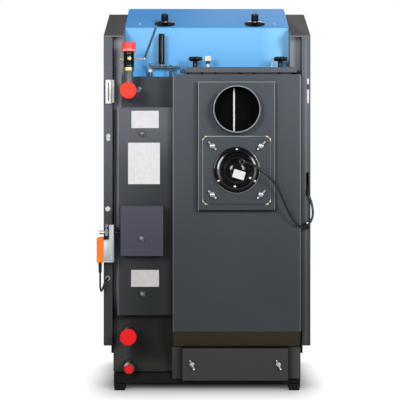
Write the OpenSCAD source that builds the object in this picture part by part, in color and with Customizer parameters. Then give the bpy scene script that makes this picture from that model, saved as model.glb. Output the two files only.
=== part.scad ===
// Wood gasification boiler, free standing.
// +Z is up and Z = 0 is the floor. The rear, with the flue and the pipes, faces -Y,
// and the loading doors face +Y. X = 0 is midway between the two side jackets.

/* [Jackets and body] */
// Width over the two side jackets
body_w = 678; // [620:1:820]
// Depth of the side jackets, front to back
body_d = 800; // [680:1:980]
// Thickness of an insulated side jacket
jacket_t = 29; // [20:1:36]
// Height of the jackets' lower edge
jacket_foot_h = 149; // [110:1:180]
// Height of the jackets at their rear and front edges, with the top cover
jacket_edge_h = 1166; // [1120:1:1400]
// Height of the flat part of the side top covers, over an edge at 1166
side_top_h = 1272; // [1230:1:1500]
// Vertical thickness of a side top cover
top_cover_t = 6; // [4:1:12]
// Angle of the sloping tops
top_slope = 23.4; // [18:0.1:30]
// How far the rear wall lies inside the jackets' rear edge
rear_recess = 43; // [30:1:70]
// How far the front panel lies inside the jackets' front edge
front_recess = 18; // [10:1:40]
// Height of the deck behind the hood
deck_h = 1035; // [940:1:1110]

/* [Hood] */
// Width of the hood
hood_w = 550; // [480:1:580]
// Height of the hood's flat top, over an edge at 1166
hood_top_h = 1304; // [1290:1:1540]
// How far the hood's rear wall lies inside the jackets' rear edge
hood_recess = 92; // [80:1:140]
// Thickness of the hood with its lining
hood_t = 25; // [3:1:40]

/* [Base] */
// Height of the feet
foot_h = 22; // [12:1:40]
// Width of a foot
foot_w = 40; // [30:1:60]
// Length of a foot
foot_l = 62; // [40:1:100]
// Height of the plinth above the feet
plinth_h = 35; // [20:1:60]

/* [Exchanger] */
// Width of the exchanger housing, in a body 678 wide
exch_w = 416; // [380:1:440]
// How far the housing stands out behind the jackets
exch_out = 29; // [15:1:60]
// Height of the lower edge of the housing's upright face
exch_face_foot_h = 197; // [180:1:260]
// Height of the lower edge of the sill
sill_foot_h = 145; // [130:1:170]
// Length of the cleaning cover, in a body 678 wide
cover_w = 362; // [320:1:390]
// Thickness of the cleaning cover
cover_t = 18; // [10:1:30]
// Thickness of the seal under the cleaning cover
seal_t = 6; // [3:1:10]

/* [Flue and fan] */
// Height of the axis of a flue pipe of 152
flue_h = 917; // [880:1:930]
// Outer diameter of the flue pipe
flue_od = 152; // [120:1:183]
// Wall of the flue pipe
flue_wall = 5; // [3:0.5:8]
// How far the flue pipe's mouth stands out behind the flue plate
flue_stub = 39; // [25:1:80]
// Thickness of the flue plate
flue_plate_t = 24; // [10:1:30]
// Width of the flue plate, behind a fan plate of 217
flue_plate_w = 250; // [240:1:300]
// Height of the flue plate, behind a fan plate of 217
flue_plate_h = 418; // [410:1:440]
// Height of that flue plate's lower edge
flue_plate_foot_h = 591; // [570:1:600]
// Side of the square fan plate
fan_plate_w = 217; // [180:1:264]
// Height of the axis of a fan whose plate is 217, under a flue of 152
fan_h = 722; // [715:1:724]
// Diameter of the fan motor's cover
motor_d = 147; // [120:1:177]
// Side of the square on which the fan plate's studs stand
fan_stud_square = 157; // [130:1:188]

/* [Air duct] */
// Height of the air duct cover's lower edge
duct_foot_h = 248; // [235:1:300]
// Height of the air duct cover's upper edge
duct_top_h = 930; // [880:1:945]
// Width of the air box
air_box_w = 138; // [120:1:150]
// Height of the air box
air_box_h = 162; // [140:1:180]
// Depth of the air box
air_box_d = 56; // [50:1:70]
// Height of the air box's lower edge
air_box_foot_h = 445; // [440:1:460]
// Diameter of the damper shaft
shaft_d = 12; // [8:0.1:14.5]

/* [Pipes] */
// Outer diameter of the flow and return pipes
pipe_od = 48.3; // [33:0.1:60]
// Wall of the pipes
pipe_wall = 3.5; // [2:0.5:6]
// Height of the flow pipe's axis
flow_h = 979; // [970:1:990]
// Height of the return pipe's axis
return_h = 185; // [170:1:200]
// Height of the drain socket's axis
drain_h = 77; // [76:1:90]

/* [Hidden] */

$fn = 64;

// ---- the frame: how far the rear and front fittings reach, and where the planes lie
rear_reach = 108;
front_reach = 72;
rear_y = -(body_d + front_reach - rear_reach) / 2;
front_y = rear_y + body_d;
rear_wall_y = rear_y + rear_recess;
front_wall_y = front_y - front_recess;
hood_y = rear_y + hood_recess;
jacket_x = body_w / 2;
inner_x = jacket_x - jacket_t;
hood_x = hood_w / 2;
plinth_top_h = foot_h + plinth_h;
plinth_y = rear_y + 20;
slip = 0.3;
seat_gap = 0.05;
running = 0.05;

// ---- what another edge height, width, flue or fan plate adds to the sizes above
edge_lift = jacket_edge_h - 1166;
extra_w = body_w - 678 - 2 * (jacket_t - 29);
flue_extra = flue_od - 152;
fan_extra = fan_plate_w - 217;

// ---- tops
side_flat_h = side_top_h + edge_lift;
hood_flat_h = hood_top_h + edge_lift;
jacket_run = (side_flat_h - jacket_edge_h) / tan(top_slope);
hood_bend_h = jacket_edge_h + hood_recess * tan(top_slope);

// ---- exchanger, flue and fan
exch_x1 = inner_x - 5.5;
exch_x0 = exch_x1 - exch_w - extra_w;
exch_y = rear_y - exch_out;
flue_x = (exch_x0 + exch_x1) / 2 - 1.5;
flue_axis_h = flue_h - flue_extra / 2;
fan_axis_h = fan_h - flue_extra - fan_extra / 2;
plate_w = flue_plate_w + fan_extra;
plate_top_h = flue_plate_foot_h + flue_plate_h;
plate_foot_h = flue_plate_foot_h - flue_extra - fan_extra;
flue_plate_y = exch_y - flue_plate_t;
flue_mouth_y = flue_plate_y - flue_stub;
flue_collar_t = 8;
flue_collar_r = flue_od / 2 + 2.5;
gasket_t = 3;
fan_plate_t = 5;
fan_plate_y = flue_plate_y - gasket_t - fan_plate_t;
motor_rim_l = 30;
motor_face_l = 40;
motor_boss_l = 47;
motor_boss_r = 9;
motor_boss_at = [16, 26];
ash_x = flue_x - 3;
ash_cover_w = exch_x1 - exch_x0 - 69;
ash_cover_foot_h = 35;
ash_cover_top_h = 141;
ash_duct_y = rear_y + 4;
ash_duct_foot_h = 40;
ash_cover_t = 13;
cover_x1 = exch_x1 - 11.5;
cover_x0 = cover_x1 - cover_w - extra_w;
cover_y0 = exch_y + 4;
cover_top_h = deck_h + seal_t + cover_t;
knob_y = rear_y + 30;
star_knob_x = [cover_x0 + 30, hood_x - 33];
sensor_x = cover_x0 + 72;

// ---- air duct, air box and actuator
duct_x0 = -inner_x + 17;
duct_x1 = exch_x0 - 4.5;
duct_y = rear_y - 2;
air_box_x0 = duct_x0 + 13;
air_box_y = duct_y - air_box_d;
duct_nut_x = air_box_x0 + air_box_w / 2;
shaft_y = rear_y - 36;
shaft_h = air_box_foot_h + 76;
shaft_x0 = -jacket_x - 12.5;
shaft_x1 = air_box_x0 + 18;
case_x0 = -jacket_x + 4;
case_x1 = -jacket_x + 37.5;
case_notch_x = case_x0 + 19;
case_foot_h = shaft_h - 96;
case_notch_h = shaft_h - 23;
case_top_h = shaft_h + 25;
case_d = 66;
cover_out = 21;
gland_x = case_x0 - 10;
gland_y = rear_y - 60;
gland_l = 32;

// ---- pipes, regulator and levers
pipe_x = -inner_x + 56;
pipe_end_y = rear_y - 73;
cap_r = pipe_od / 2 + 2.3;
cap_l = 22;
branch_y = rear_y - 36;
branch_r = 14.5;
regulator_x = pipe_x;
nut_h = 12;
nut_foot_h = flow_h + 65;
regulator_foot_h = nut_foot_h + nut_h;
regulator_h = 50;
regulator_r = 17.8;
pivot_x = regulator_x + 4;
pivot_h = regulator_foot_h + 27;
pivot_r = 2.5;
knob_foot_h = regulator_foot_h + regulator_h + slip;
knob_h = 30;
knob_r = 22.2;
spindle_r = 4;
lever_r = 2.6;
arm_r = 3.4;
lever_bend_x = pivot_x + 46;
lever_tip = [pivot_x + 86, pivot_h + 109];
lever_tail_x = regulator_x - 28;

bar_h = deck_h + 33;
bar_y = rear_y + 64;
bar_r = 4.15;
bar_x1 = cover_x0 - 25;
bar_x0 = bar_x1 - 86;
grip_x = bar_x1 - 57;
grip_r = 10.8;
grip_foot_h = bar_h + 11;
grip_h = 100;
post_x = bar_x1 - 28;
stub_x = bar_x0 - 10;
stub_y = rear_y + 83;

// ---- the cords' routes, from where each leaves its gland; they follow their two ends
fan_cable_r = 3.8;
fan_cable_line = [
    [119, -486.5, 747], [134, -486.5, 744], [150, -486.5, 737], [166, -486, 726],
    [190, -482, 707], [212, -475, 686], [228, -469, 662], [240, -463, 636],
    [251, -456, 612], [262, -448, 588], [275, -438, 565], [288, -429, 549],
    [300, -420, 540], [313, -411.5, 538], [326, -403, 543], [337, -397, 553],
    [344, -394, 568], [346, -394, 585], [344, -393, 604], [340, -392, 622],
    [334, -391, 637], [329.5, -387, 652], [329, -379, 667], [329, -369, 681],
    [329, -360, 694]
];
actuator_cable_r = 3.2;
actuator_cable_line = [
    [-345, -442, 392], [-345, -442, 384], [-345, -442, 376], [-345, -442, 368], [-345, -442, 361],
    [-345, -442, 353.5], [-344.9, -440.2, 344.7], [-344.6, -435.3, 337.2], [-344, -427.8, 332.3],
    [-343.1, -419, 330.5], [-341.8, -410.2, 332.3], [-340.1, -402.7, 337.2],
    [-337.9, -397.8, 344.7], [-335.2, -396, 353.5], [-332.2, -393.6, 360.3],
    [-329, -389.4, 365.3], [-325.5, -384, 369]
];
grommet_x = -jacket_x + 14;
grommet_h = case_foot_h - 55;
slot_x = jacket_x - 10;
slot_foot_h = fan_axis_h - 82;
slot_top_h = slot_foot_h + 76;
clip_h = slot_foot_h - 108;
fan_cable_exit = [
    flue_x + motor_boss_at[0] + motor_boss_r - 1, fan_plate_y - motor_boss_l + 3.5,
    fan_axis_h + motor_boss_at[1] - 1
];
actuator_cable_exit = [gland_x, gland_y, case_foot_h - 1 - gland_l];
fan_cable_route = carried(
    fan_cable_line, fan_cable_exit, [slot_x, rear_y + 22, slot_foot_h + 54]
);
actuator_cable_route = carried(
    actuator_cable_line, actuator_cable_exit, [grommet_x - 0.5, rear_y - 2, grommet_h - 1]
);

// ---- front
door_x = inner_x - 96;
door_t = 40;
handle_r = 11;
handle_out = front_reach + front_recess - door_t;
loading_door_h = [600, deck_h - 25];
ash_door_h = [150, 560];

// ------------------------------------------------------------------ shared shapes

// A box between two corners
module block(low, high) {
    translate(low) cube(high - low);
}

// A profile drawn in Y and Z, run along X
module along_x(x0, x1) {
    translate([x0, 0, 0]) rotate([90, 0, 90]) linear_extrude(x1 - x0) children();
}

// A profile drawn in X and Z, run from y0 towards the front by l
module along_y(y0, l) {
    translate([0, y0 + l, 0]) rotate([90, 0, 0]) linear_extrude(l) children();
}

// A cylinder that stands out to the rear from the plane y0
module rear_rod(x, z, y0, l, r) {
    translate([x, y0, z]) rotate([90, 0, 0]) cylinder(h = l, r = r);
}

// A cylinder along X
module cross_rod(x0, x1, y, z, r) {
    translate([x0, y, z]) rotate([0, 90, 0]) cylinder(h = x1 - x0, r = r);
}

// A rectangle with round corners, centred
module rounded_rect(w, h, r) {
    square([w - 2 * r, h], center = true);
    square([w, h - 2 * r], center = true);
    for (sx = [-1, 1], sz = [-1, 1])
        translate([sx * (w / 2 - r), sz * (h / 2 - r)]) circle(r);
}

// The sloping, flat and sloping line of the side tops, lowered by drop
function top_line(drop) = [
    [rear_y, jacket_edge_h - drop],
    [rear_y + jacket_run, side_flat_h - drop],
    [front_y - jacket_run, side_flat_h - drop],
    [front_y, jacket_edge_h - drop]
];

function reversed(list) = [for (i = [len(list) - 1 : -1 : 0]) list[i]];

// The hood's outline inside a skin of thickness t, down to the height foot
function hood_outline(t, foot) =
    let (rise = t / cos(top_slope),
         top = hood_flat_h - t,
         run = (top - jacket_edge_h + rise) / tan(top_slope))
    [
        [hood_y + t, foot],
        [hood_y + t, hood_bend_h + t * tan(top_slope) - rise],
        [rear_y + run, top],
        [front_y - run, top],
        [front_wall_y - t, jacket_edge_h + (t + front_recess) * tan(top_slope) - rise],
        [front_wall_y - t, foot]
    ];

// ------------------------------------------------------------------ base and body

module plinth() {
    color("#262626")
        block([-inner_x + 3, plinth_y, foot_h], [inner_x - 3, front_wall_y - 12, plinth_top_h]);
}

module feet() {
    taper = 3;
    color("#141414")
        for (side = [-1, 1], y0 = [plinth_y - 6, front_wall_y - 12 - foot_l])
            translate([side * (inner_x - 3 - foot_w / 2), 0, 0])
                along_y(y0, foot_l)
                    polygon([
                        [-foot_w / 2, foot_h], [-foot_w / 2 + taper, 0],
                        [foot_w / 2 - taper, 0], [foot_w / 2, foot_h]
                    ]);
}

// The welded steel body: a block up to the deck, cheeks beside the hood and the core under it
module boiler_body() {
    color("#3b3e42") {
        union() {
            block([-inner_x, rear_wall_y, plinth_top_h], [inner_x, front_wall_y - hood_t, deck_h]);
            for (side = [[-inner_x, -hood_x], [hood_x, inner_x]])
                along_x(side[0], side[1])
                    polygon(concat(
                        [[rear_wall_y, deck_h - 1]],
                        [[rear_wall_y,
                          jacket_edge_h + rear_recess * tan(top_slope) - top_cover_t - seat_gap]],
                        [for (i = [1, 2])
                            top_line(top_cover_t + seat_gap)[i]],
                        [[front_wall_y - hood_t,
                          jacket_edge_h + (front_recess + hood_t) * tan(top_slope)
                          - top_cover_t - seat_gap]],
                        [[front_wall_y - hood_t, deck_h - 1]]
                    ));
            along_x(-hood_x + hood_t, hood_x - hood_t)
                polygon(hood_outline(hood_t, deck_h - 1));
        }
    }
}

module jacket_panel(x0, x1) {
    along_x(x0, x1)
        polygon(concat(
            [[front_y, jacket_foot_h], [rear_y, jacket_foot_h]],
            top_line(top_cover_t)
        ));
}

module left_jacket() {
    color("#4a4f56")
        jacket_panel(-jacket_x, -inner_x);
}

// The right jacket has the slot in its rear edge that the fan's cable sinks into
module right_jacket() {
    color("#4a4f56")
        difference() {
            jacket_panel(inner_x, jacket_x);
            block([slot_x - 4.5, rear_y - 1, slot_foot_h],
                  [slot_x + 4.5, rear_y + 30, slot_top_h]);
        }
}

// The clips under the jackets' rear corners that hold them to the body
module jacket_brackets() {
    color("#1d1a18")
        for (side = [-1, 1])
            translate([side * (inner_x + 3.5), 0, 0])
                block([-3.5, rear_wall_y, jacket_foot_h - 30], [3.5, rear_wall_y + 40, jacket_foot_h]);
}

module side_top_cover(x0, x1) {
    color("#4b4442")
        along_x(x0, x1)
            polygon(concat(
                top_line(0),
                reversed(top_line(top_cover_t))
            ));
}

module left_top_cover() {
    side_top_cover(-jacket_x, -hood_x);
}

module right_top_cover() {
    side_top_cover(hood_x, jacket_x);
}

// ------------------------------------------------------------------ hood

module hood() {
    color("#5aa5e4")
        difference() {
            along_x(-hood_x, hood_x) polygon(hood_outline(0, deck_h));
            along_x(-hood_x + hood_t, hood_x - hood_t)
                polygon(hood_outline(hood_t, deck_h - 1));
        }
}

// A wide washer that lies on the slope, with a ribbed knob on a short stud
module hood_knob(x) {
    up_slope = 35;
    washer_r = 34.5;
    washer_t = 5;
    stud_r = 9;
    cap_foot = 8;
    knob_cap_r = 12.3;
    knob_cap_h = 27;
    translate([x, hood_y + up_slope, hood_bend_h + up_slope * tan(top_slope)])
        rotate([top_slope, 0, 0]) {
            cylinder(h = washer_t, r = washer_r);
            cylinder(h = cap_foot + 1, r = stud_r);
            translate([0, 0, cap_foot]) cylinder(h = knob_cap_h, r = knob_cap_r);
        }
}

module hood_knobs() {
    color("#18181a")
        for (x = [-hood_x + 133, hood_x - 113]) hood_knob(x);
}

// ------------------------------------------------------------------ exchanger

module flue_hole() {
    rear_rod(flue_x, flue_axis_h, rear_wall_y + 1, rear_recess + 200, flue_od / 2 + slip);
}

module exchanger_housing() {
    color("#50555d")
        difference() {
            block([exch_x0, exch_y, exch_face_foot_h], [exch_x1, rear_wall_y, deck_h]);
            flue_hole();
        }
}

// The bottom of the housing slopes in under it
module exchanger_sill() {
    color("#3a3027")
        along_x(exch_x0, exch_x1)
            polygon([
                [exch_y, exch_face_foot_h], [rear_y, sill_foot_h],
                [rear_wall_y, sill_foot_h], [rear_wall_y, exch_face_foot_h]
            ]);
}

// The cleaning duct under the exchanger, which laps down over the plinth's edge
module ash_duct() {
    color("#3a3b3c")
        along_x(exch_x0 - 3, exch_x1 + 2)
            polygon([
                [ash_duct_y, ash_duct_foot_h], [plinth_y, ash_duct_foot_h],
                [plinth_y, plinth_top_h], [rear_wall_y, plinth_top_h],
                [rear_wall_y, sill_foot_h], [ash_duct_y, sill_foot_h]
            ]);
}

module ash_cover() {
    color("#3f4041")
        translate([ash_x, 0, (ash_cover_foot_h + ash_cover_top_h) / 2])
            along_y(ash_duct_y - ash_cover_t, ash_cover_t)
                rounded_rect(ash_cover_w, ash_cover_top_h - ash_cover_foot_h, 5);
}

// The corner that the cover and its seal leave free for the body's right cheek
module cheek_notch(gap) {
    block([hood_x - gap, rear_wall_y - gap, deck_h - 1], [inner_x, hood_y, cover_top_h + 1]);
}

module cover_seal() {
    color("#2b2b2b")
        difference() {
            block([cover_x0 + 3, cover_y0 + 3, deck_h],
                  [cover_x1 - 3, hood_y - 11, deck_h + seal_t]);
            cheek_notch(6);
        }
}

module cleaning_cover() {
    color("#6a7079")
        difference() {
            block([cover_x0, cover_y0, deck_h + seal_t],
                  [cover_x1, hood_y - 8, cover_top_h]);
            cheek_notch(3);
        }
}

module star_knob(x) {
    lobes = 5;
    head_r = 17;
    lobe_r = 7;
    translate([x, knob_y, cover_top_h]) {
        cylinder(h = 26, r = 10);
        translate([0, 0, 25]) {
            cylinder(h = 14, r = head_r);
            for (i = [0 : lobes - 1])
                rotate([0, 0, 90 + i * 360 / lobes])
                    translate([head_r - 1, 0, 1]) cylinder(h = 12, r = lobe_r);
        }
    }
}

module star_knobs() {
    color("#1c1c1e")
        for (x = star_knob_x) star_knob(x);
}

module cover_sensor() {
    color("#efefe8")
        translate([sensor_x, knob_y, cover_top_h]) {
            cylinder(h = 16, r = 5);
            translate([0, 0, 15]) cylinder(h = 10, r = 6);
            translate([-10, -9, 24]) cube([20, 18, 18]);
        }
}

// ------------------------------------------------------------------ flue and fan

module flue_plate() {
    color("#5a6068")
        difference() {
            block([flue_x - plate_w / 2, flue_plate_y, plate_foot_h],
                  [flue_x + plate_w / 2, exch_y, plate_top_h]);
            flue_hole();
        }
}

// The pipe runs through the housing to the body, with a weld ring on the flue plate
module flue_pipe() {
    color("#b9bcc0")
        difference() {
            union() {
                rear_rod(flue_x, flue_axis_h, rear_wall_y, rear_wall_y - flue_mouth_y, flue_od / 2);
                rear_rod(flue_x, flue_axis_h, flue_plate_y, flue_collar_t, flue_collar_r);
            }
            rear_rod(flue_x, flue_axis_h, rear_wall_y + 1, rear_wall_y - flue_mouth_y + 2,
                     flue_od / 2 - flue_wall);
        }
}

// An upright plate that divides the pipe a little left of its middle
module flue_baffle() {
    baffle_t = 5;
    color("#c9ccd0")
        intersection() {
            block([flue_x - 10.5, flue_plate_y + 3, flue_axis_h - flue_od],
                  [flue_x - 10.5 + baffle_t, rear_wall_y, flue_axis_h + flue_od]);
            rear_rod(flue_x, flue_axis_h, rear_wall_y, rear_wall_y - flue_plate_y,
                     flue_od / 2 - flue_wall - slip);
        }
}

module fan_gasket() {
    color("#b5a58a")
        translate([flue_x, 0, fan_axis_h])
            along_y(flue_plate_y - gasket_t, gasket_t)
                rounded_rect(fan_plate_w + 4, fan_plate_w + 4, 8);
}

module fan_plate() {
    color("#70757c")
        translate([flue_x, 0, fan_axis_h])
            along_y(fan_plate_y, fan_plate_t)
                rounded_rect(fan_plate_w, fan_plate_w, 16);
}

module fan_motor() {
    color("#111214") {
        rear_rod(flue_x, fan_axis_h, fan_plate_y, motor_rim_l, motor_d / 2);
        rear_rod(flue_x, fan_axis_h, fan_plate_y - motor_rim_l + 1, motor_face_l - motor_rim_l + 1,
                 motor_d / 2 - 12);
        rear_rod(flue_x + motor_boss_at[0], fan_axis_h + motor_boss_at[1],
                 fan_plate_y - motor_face_l + 1, motor_boss_l - motor_face_l + 1, motor_boss_r);
    }
}

// A wing nut on its stud; face is the plane that it is screwed down to
module wing_nut(x, z, face, turn, hub_r = 7, hub_l = 9, wing_l = 19.5) {
    wing_t = 4;
    translate([x, face, z]) rotate([90, turn, 0]) {
        cylinder(h = hub_l, r = hub_r);
        cylinder(h = 17, r = 4);
        for (side = [-1, 1])
            rotate([90, 0, 0])
                translate([0, 0, -wing_t / 2])
                    linear_extrude(wing_t)
                        polygon([
                            [0, 1], [side * hub_r, 1], [side * wing_l, 9],
                            [side * wing_l, 17], [side * (wing_l - 6), 17], [side * 5, 9], [0, 9]
                        ]);
    }
}

module wing_nuts() {
    color("#9a9da1") {
        for (side = [-1, 1], level = [-1, 1])
            wing_nut(flue_x + side * fan_stud_square / 2, fan_axis_h + level * fan_stud_square / 2,
                     fan_plate_y, -side * 45);
        for (h = [duct_foot_h + 71, duct_top_h - 87])
            wing_nut(duct_nut_x, h, duct_y, 45, 9.5, 14, 14);
        wing_nut(duct_nut_x, air_box_foot_h + 57, air_box_y, 60, 9.5, 14, 14);
        for (side = [-1, 1])
            wing_nut(ash_x + side * (ash_cover_w / 2 - 32.5), (ash_cover_foot_h + ash_cover_top_h) / 2,
                     ash_duct_y - ash_cover_t, 65);
    }
}

// ------------------------------------------------------------------ air duct and damper

module air_duct_cover() {
    color("#45494f")
        block([duct_x0, duct_y, duct_foot_h], [duct_x1, rear_wall_y, duct_top_h]);
}

module air_box() {
    color("#5b5b69")
        difference() {
            block([air_box_x0, air_box_y, air_box_foot_h],
                  [air_box_x0 + air_box_w, duct_y, air_box_foot_h + air_box_h]);
            cross_rod(air_box_x0 - 1, shaft_x1 + slip, shaft_y, shaft_h, shaft_d / 2 + running);
        }
}

// The case sits on the left jacket's edge, and the damper shaft passes through it
module actuator_case() {
    color("#bfc3c6")
        difference() {
            union() {
                block([case_x0, rear_y - case_d, case_foot_h], [case_x1, rear_y, case_notch_h]);
                block([case_notch_x, rear_y - case_d, case_notch_h - 1],
                      [case_x1, rear_y, case_top_h]);
            }
            cross_rod(case_notch_x - 1, case_x1 + 1, shaft_y, shaft_h, shaft_d / 2 + 3);
        }
}

module actuator_cover() {
    color("#ff7d23")
        block([case_x0 - cover_out, rear_y - case_d - 1, case_foot_h - 1],
              [case_x0, rear_y - 2, case_notch_h + 7]);
}

module actuator_gland() {
    color("#202224")
        translate([gland_x, gland_y, case_foot_h - 1 - gland_l])
            cylinder(h = gland_l, r = 6);
}

// The shaft with its clamp, which the actuator turns
module damper_shaft() {
    clamp_x0 = case_x0 + 5;
    clamp_l = 9;
    jaw = 11;
    color("#a3a7ab") {
        cross_rod(shaft_x0, shaft_x1, shaft_y, shaft_h, shaft_d / 2);
        block([clamp_x0, shaft_y - jaw, shaft_h - jaw],
              [clamp_x0 + clamp_l, shaft_y + jaw, shaft_h + jaw]);
        for (side = [-1, 1])
            translate([clamp_x0 + clamp_l / 2, shaft_y + side * 7.5, shaft_h])
                cylinder(h = 28, r = 3);
        block([clamp_x0, shaft_y - jaw, shaft_h + 18],
              [clamp_x0 + clamp_l, shaft_y + jaw, shaft_h + 23]);
    }
}

// ------------------------------------------------------------------ pipes and regulator

module stub_pipe(z) {
    difference() {
        rear_rod(pipe_x, z, rear_wall_y, rear_wall_y - pipe_end_y, pipe_od / 2);
        rear_rod(pipe_x, z, rear_wall_y - 8, rear_wall_y - pipe_end_y, pipe_od / 2 - pipe_wall);
    }
}

// The flow pipe carries an upright branch for the draught regulator and a sensor pocket
module flow_pipe() {
    color("#7d8186") {
        stub_pipe(flow_h);
        difference() {
            translate([pipe_x, branch_y, flow_h]) cylinder(h = nut_foot_h - flow_h, r = branch_r);
            rear_rod(pipe_x, flow_h, rear_wall_y - 8, rear_wall_y - pipe_end_y,
                     pipe_od / 2 - pipe_wall);
        }
        difference() {
            cross_rod(pipe_x, pipe_x + 36, rear_y - 10, flow_h + 4, 7);
            rear_rod(pipe_x, flow_h, rear_wall_y - 8, rear_wall_y - pipe_end_y,
                     pipe_od / 2 - pipe_wall);
        }
    }
}

module return_pipe() {
    color("#55585c") stub_pipe(return_h);
}

module drain_socket() {
    color("#8b8e92")
        rear_rod(pipe_x, drain_h, rear_wall_y, rear_recess + 28, 18.5);
}

module pipe_cap(z) {
    difference() {
        rear_rod(pipe_x, z, pipe_end_y - 4 + cap_l, cap_l, cap_r);
        rear_rod(pipe_x, z, pipe_end_y + cap_l, cap_l, pipe_od / 2 + slip / 2);
    }
}

module pipe_caps() {
    color("#e8251c") {
        pipe_cap(flow_h);
        pipe_cap(return_h);
        rear_rod(pipe_x, drain_h, rear_y - 28, 9, 14.4);
    }
}

module regulator_nut() {
    color("#c59a45")
        translate([regulator_x, branch_y, nut_foot_h]) cylinder(h = nut_h, r = 18.6, $fn = 6);
}

// The head has a slot for the lever and a spindle for the knob
module regulator_body() {
    slot_w = 12;
    slot_h = 22;
    color("#1b1b1d")
        difference() {
            translate([regulator_x, branch_y, regulator_foot_h]) {
                cylinder(h = regulator_h, r = regulator_r - 1.3);
                cylinder(h = 8, r = regulator_r - 2);
                translate([0, 0, 12]) cylinder(h = 30, r = regulator_r);
                cylinder(h = regulator_h + 22, r = spindle_r);
            }
            block([regulator_x - 30, branch_y - slot_w / 2, pivot_h - slot_h / 2],
                  [regulator_x + 30, branch_y + slot_w / 2, pivot_h + slot_h / 2]);
            rear_rod(pivot_x, pivot_h, branch_y + 12, 40, pivot_r + running);
        }
}

module pivot_screw() {
    color("#c59a45") {
        rear_rod(pivot_x, pivot_h, branch_y + 12 - slip, 12 - slip + 18, pivot_r);
        rear_rod(pivot_x, pivot_h, branch_y - 17.9, 3.5, 4.8);
    }
}

module regulator_knob() {
    color("#e63a30")
        translate([regulator_x, branch_y, knob_foot_h])
            difference() {
                cylinder(h = knob_h, r = knob_r);
                translate([0, 0, -1]) cylinder(h = 24, r = spindle_r + running);
            }
}

// The lever passes through the head, and its outer arm is bent up
module regulator_lever() {
    arm = [lever_tip[0] - lever_bend_x, lever_tip[1] - pivot_h];
    color("#b9924a")
        difference() {
            union() {
                cross_rod(lever_tail_x, lever_bend_x, branch_y, pivot_h, lever_r);
                cross_rod(lever_tail_x, lever_tail_x + 7, branch_y, pivot_h, 4.5);
                rear_rod(pivot_x, pivot_h, branch_y + 5, 10, 6.5);
                translate([lever_bend_x, branch_y, pivot_h]) {
                    sphere(r = arm_r + 0.15);
                    rotate([0, atan2(arm[0], arm[1]), 0]) cylinder(h = norm(arm), r = arm_r);
                }
            }
            rear_rod(pivot_x, pivot_h, branch_y + 20, 40, pivot_r + running);
        }
}

// ------------------------------------------------------------------ cleaning lever

// The post stands on the deck, and its eye carries the bar
module lever_post() {
    color("#8f9296")
        difference() {
            union() {
                translate([post_x, bar_y, deck_h]) cylinder(h = bar_h - deck_h, r = 4.5);
                cross_rod(post_x - 5, post_x + 5, bar_y, bar_h, 7.5);
            }
            cross_rod(post_x - 6, post_x + 6, bar_y, bar_h, bar_r + running);
        }
}

// The bar is bent up at its left end and down at its right end, with a shank for the grip
module cleaning_lever() {
    bend_r = 9;
    drop = 10;
    color("#a4a8ac") {
        cross_rod(bar_x0, bar_x1, bar_y, bar_h, bar_r);
        translate([bar_x1, bar_y, bar_h - bend_r])
            rotate([90, 0, 0]) rotate_extrude(angle = 90) translate([bend_r, 0]) circle(bar_r);
        translate([bar_x1 + bend_r, bar_y, bar_h - bend_r - drop]) cylinder(h = drop, r = bar_r);
        translate([bar_x0, bar_y, bar_h + bend_r])
            rotate([90, 0, 0]) rotate([0, 0, 180])
                rotate_extrude(angle = 90) translate([bend_r, 0]) circle(bar_r);
        translate([bar_x0 - bend_r, bar_y, bar_h + bend_r]) cylinder(h = 4, r = bar_r);
        translate([grip_x, bar_y, bar_h]) cylinder(h = 11, r = 7);
        translate([grip_x, bar_y, bar_h]) cylinder(h = 80, r = 4);
    }
}

module lever_grip() {
    color("#1a1a1c")
        difference() {
            translate([grip_x, bar_y, grip_foot_h]) cylinder(h = grip_h, r = grip_r);
            translate([grip_x, bar_y, bar_h]) cylinder(h = 80 + slip, r = 4 + running);
        }
}

module capped_stub() {
    color("#d8d2bd")
        translate([stub_x, stub_y, deck_h]) {
            cylinder(h = 19, r = 6.6);
            translate([0, 0, 18]) cylinder(h = 13, r = 7.8);
        }
}

// ------------------------------------------------------------------ fittings on the jackets' edges

module edge_connectors() {
    color("#e9e4d2") {
        block([-jacket_x + 7, rear_y - 10, flow_h - 38], [-jacket_x + 35, rear_y, flow_h + 40]);
        block([jacket_x - 12.4, rear_y - 4, flow_h - 37], [jacket_x - 5, rear_y, flow_h + 45]);
    }
}

module flange_plugs() {
    color("#8c9094") {
        for (dz = [-5, 5]) rear_rod(-jacket_x + 15.4, 831 + dz, rear_y, 4, 7);
        rear_rod(-jacket_x + 14, 597, rear_y, 4, 8.5);
    }
}

module cable_grommet() {
    color("#3a3d3a") rear_rod(grommet_x, grommet_h, rear_y, 6, 8.5);
}

module cable_clip() {
    color("#1f2022") {
        block([slot_x - 9, rear_y - 24, clip_h], [slot_x + 4, rear_y, clip_h + 23]);
    }
}

// ------------------------------------------------------------------ cords

// The line with its first point moved to the exit and its last to the end. Its first part
// takes up the difference, and the rest keeps its shape and goes with the end.
function carried(line, exit, end) =
    let (last = len(line) - 1)
    [for (i = [0 : last])
        let (share = min(i / (0.4 * last), 1))
        line[i] + (1 - share) * (exit - line[0]) + share * (end - line[last])];

function unit(v) = v / norm(v);

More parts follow.
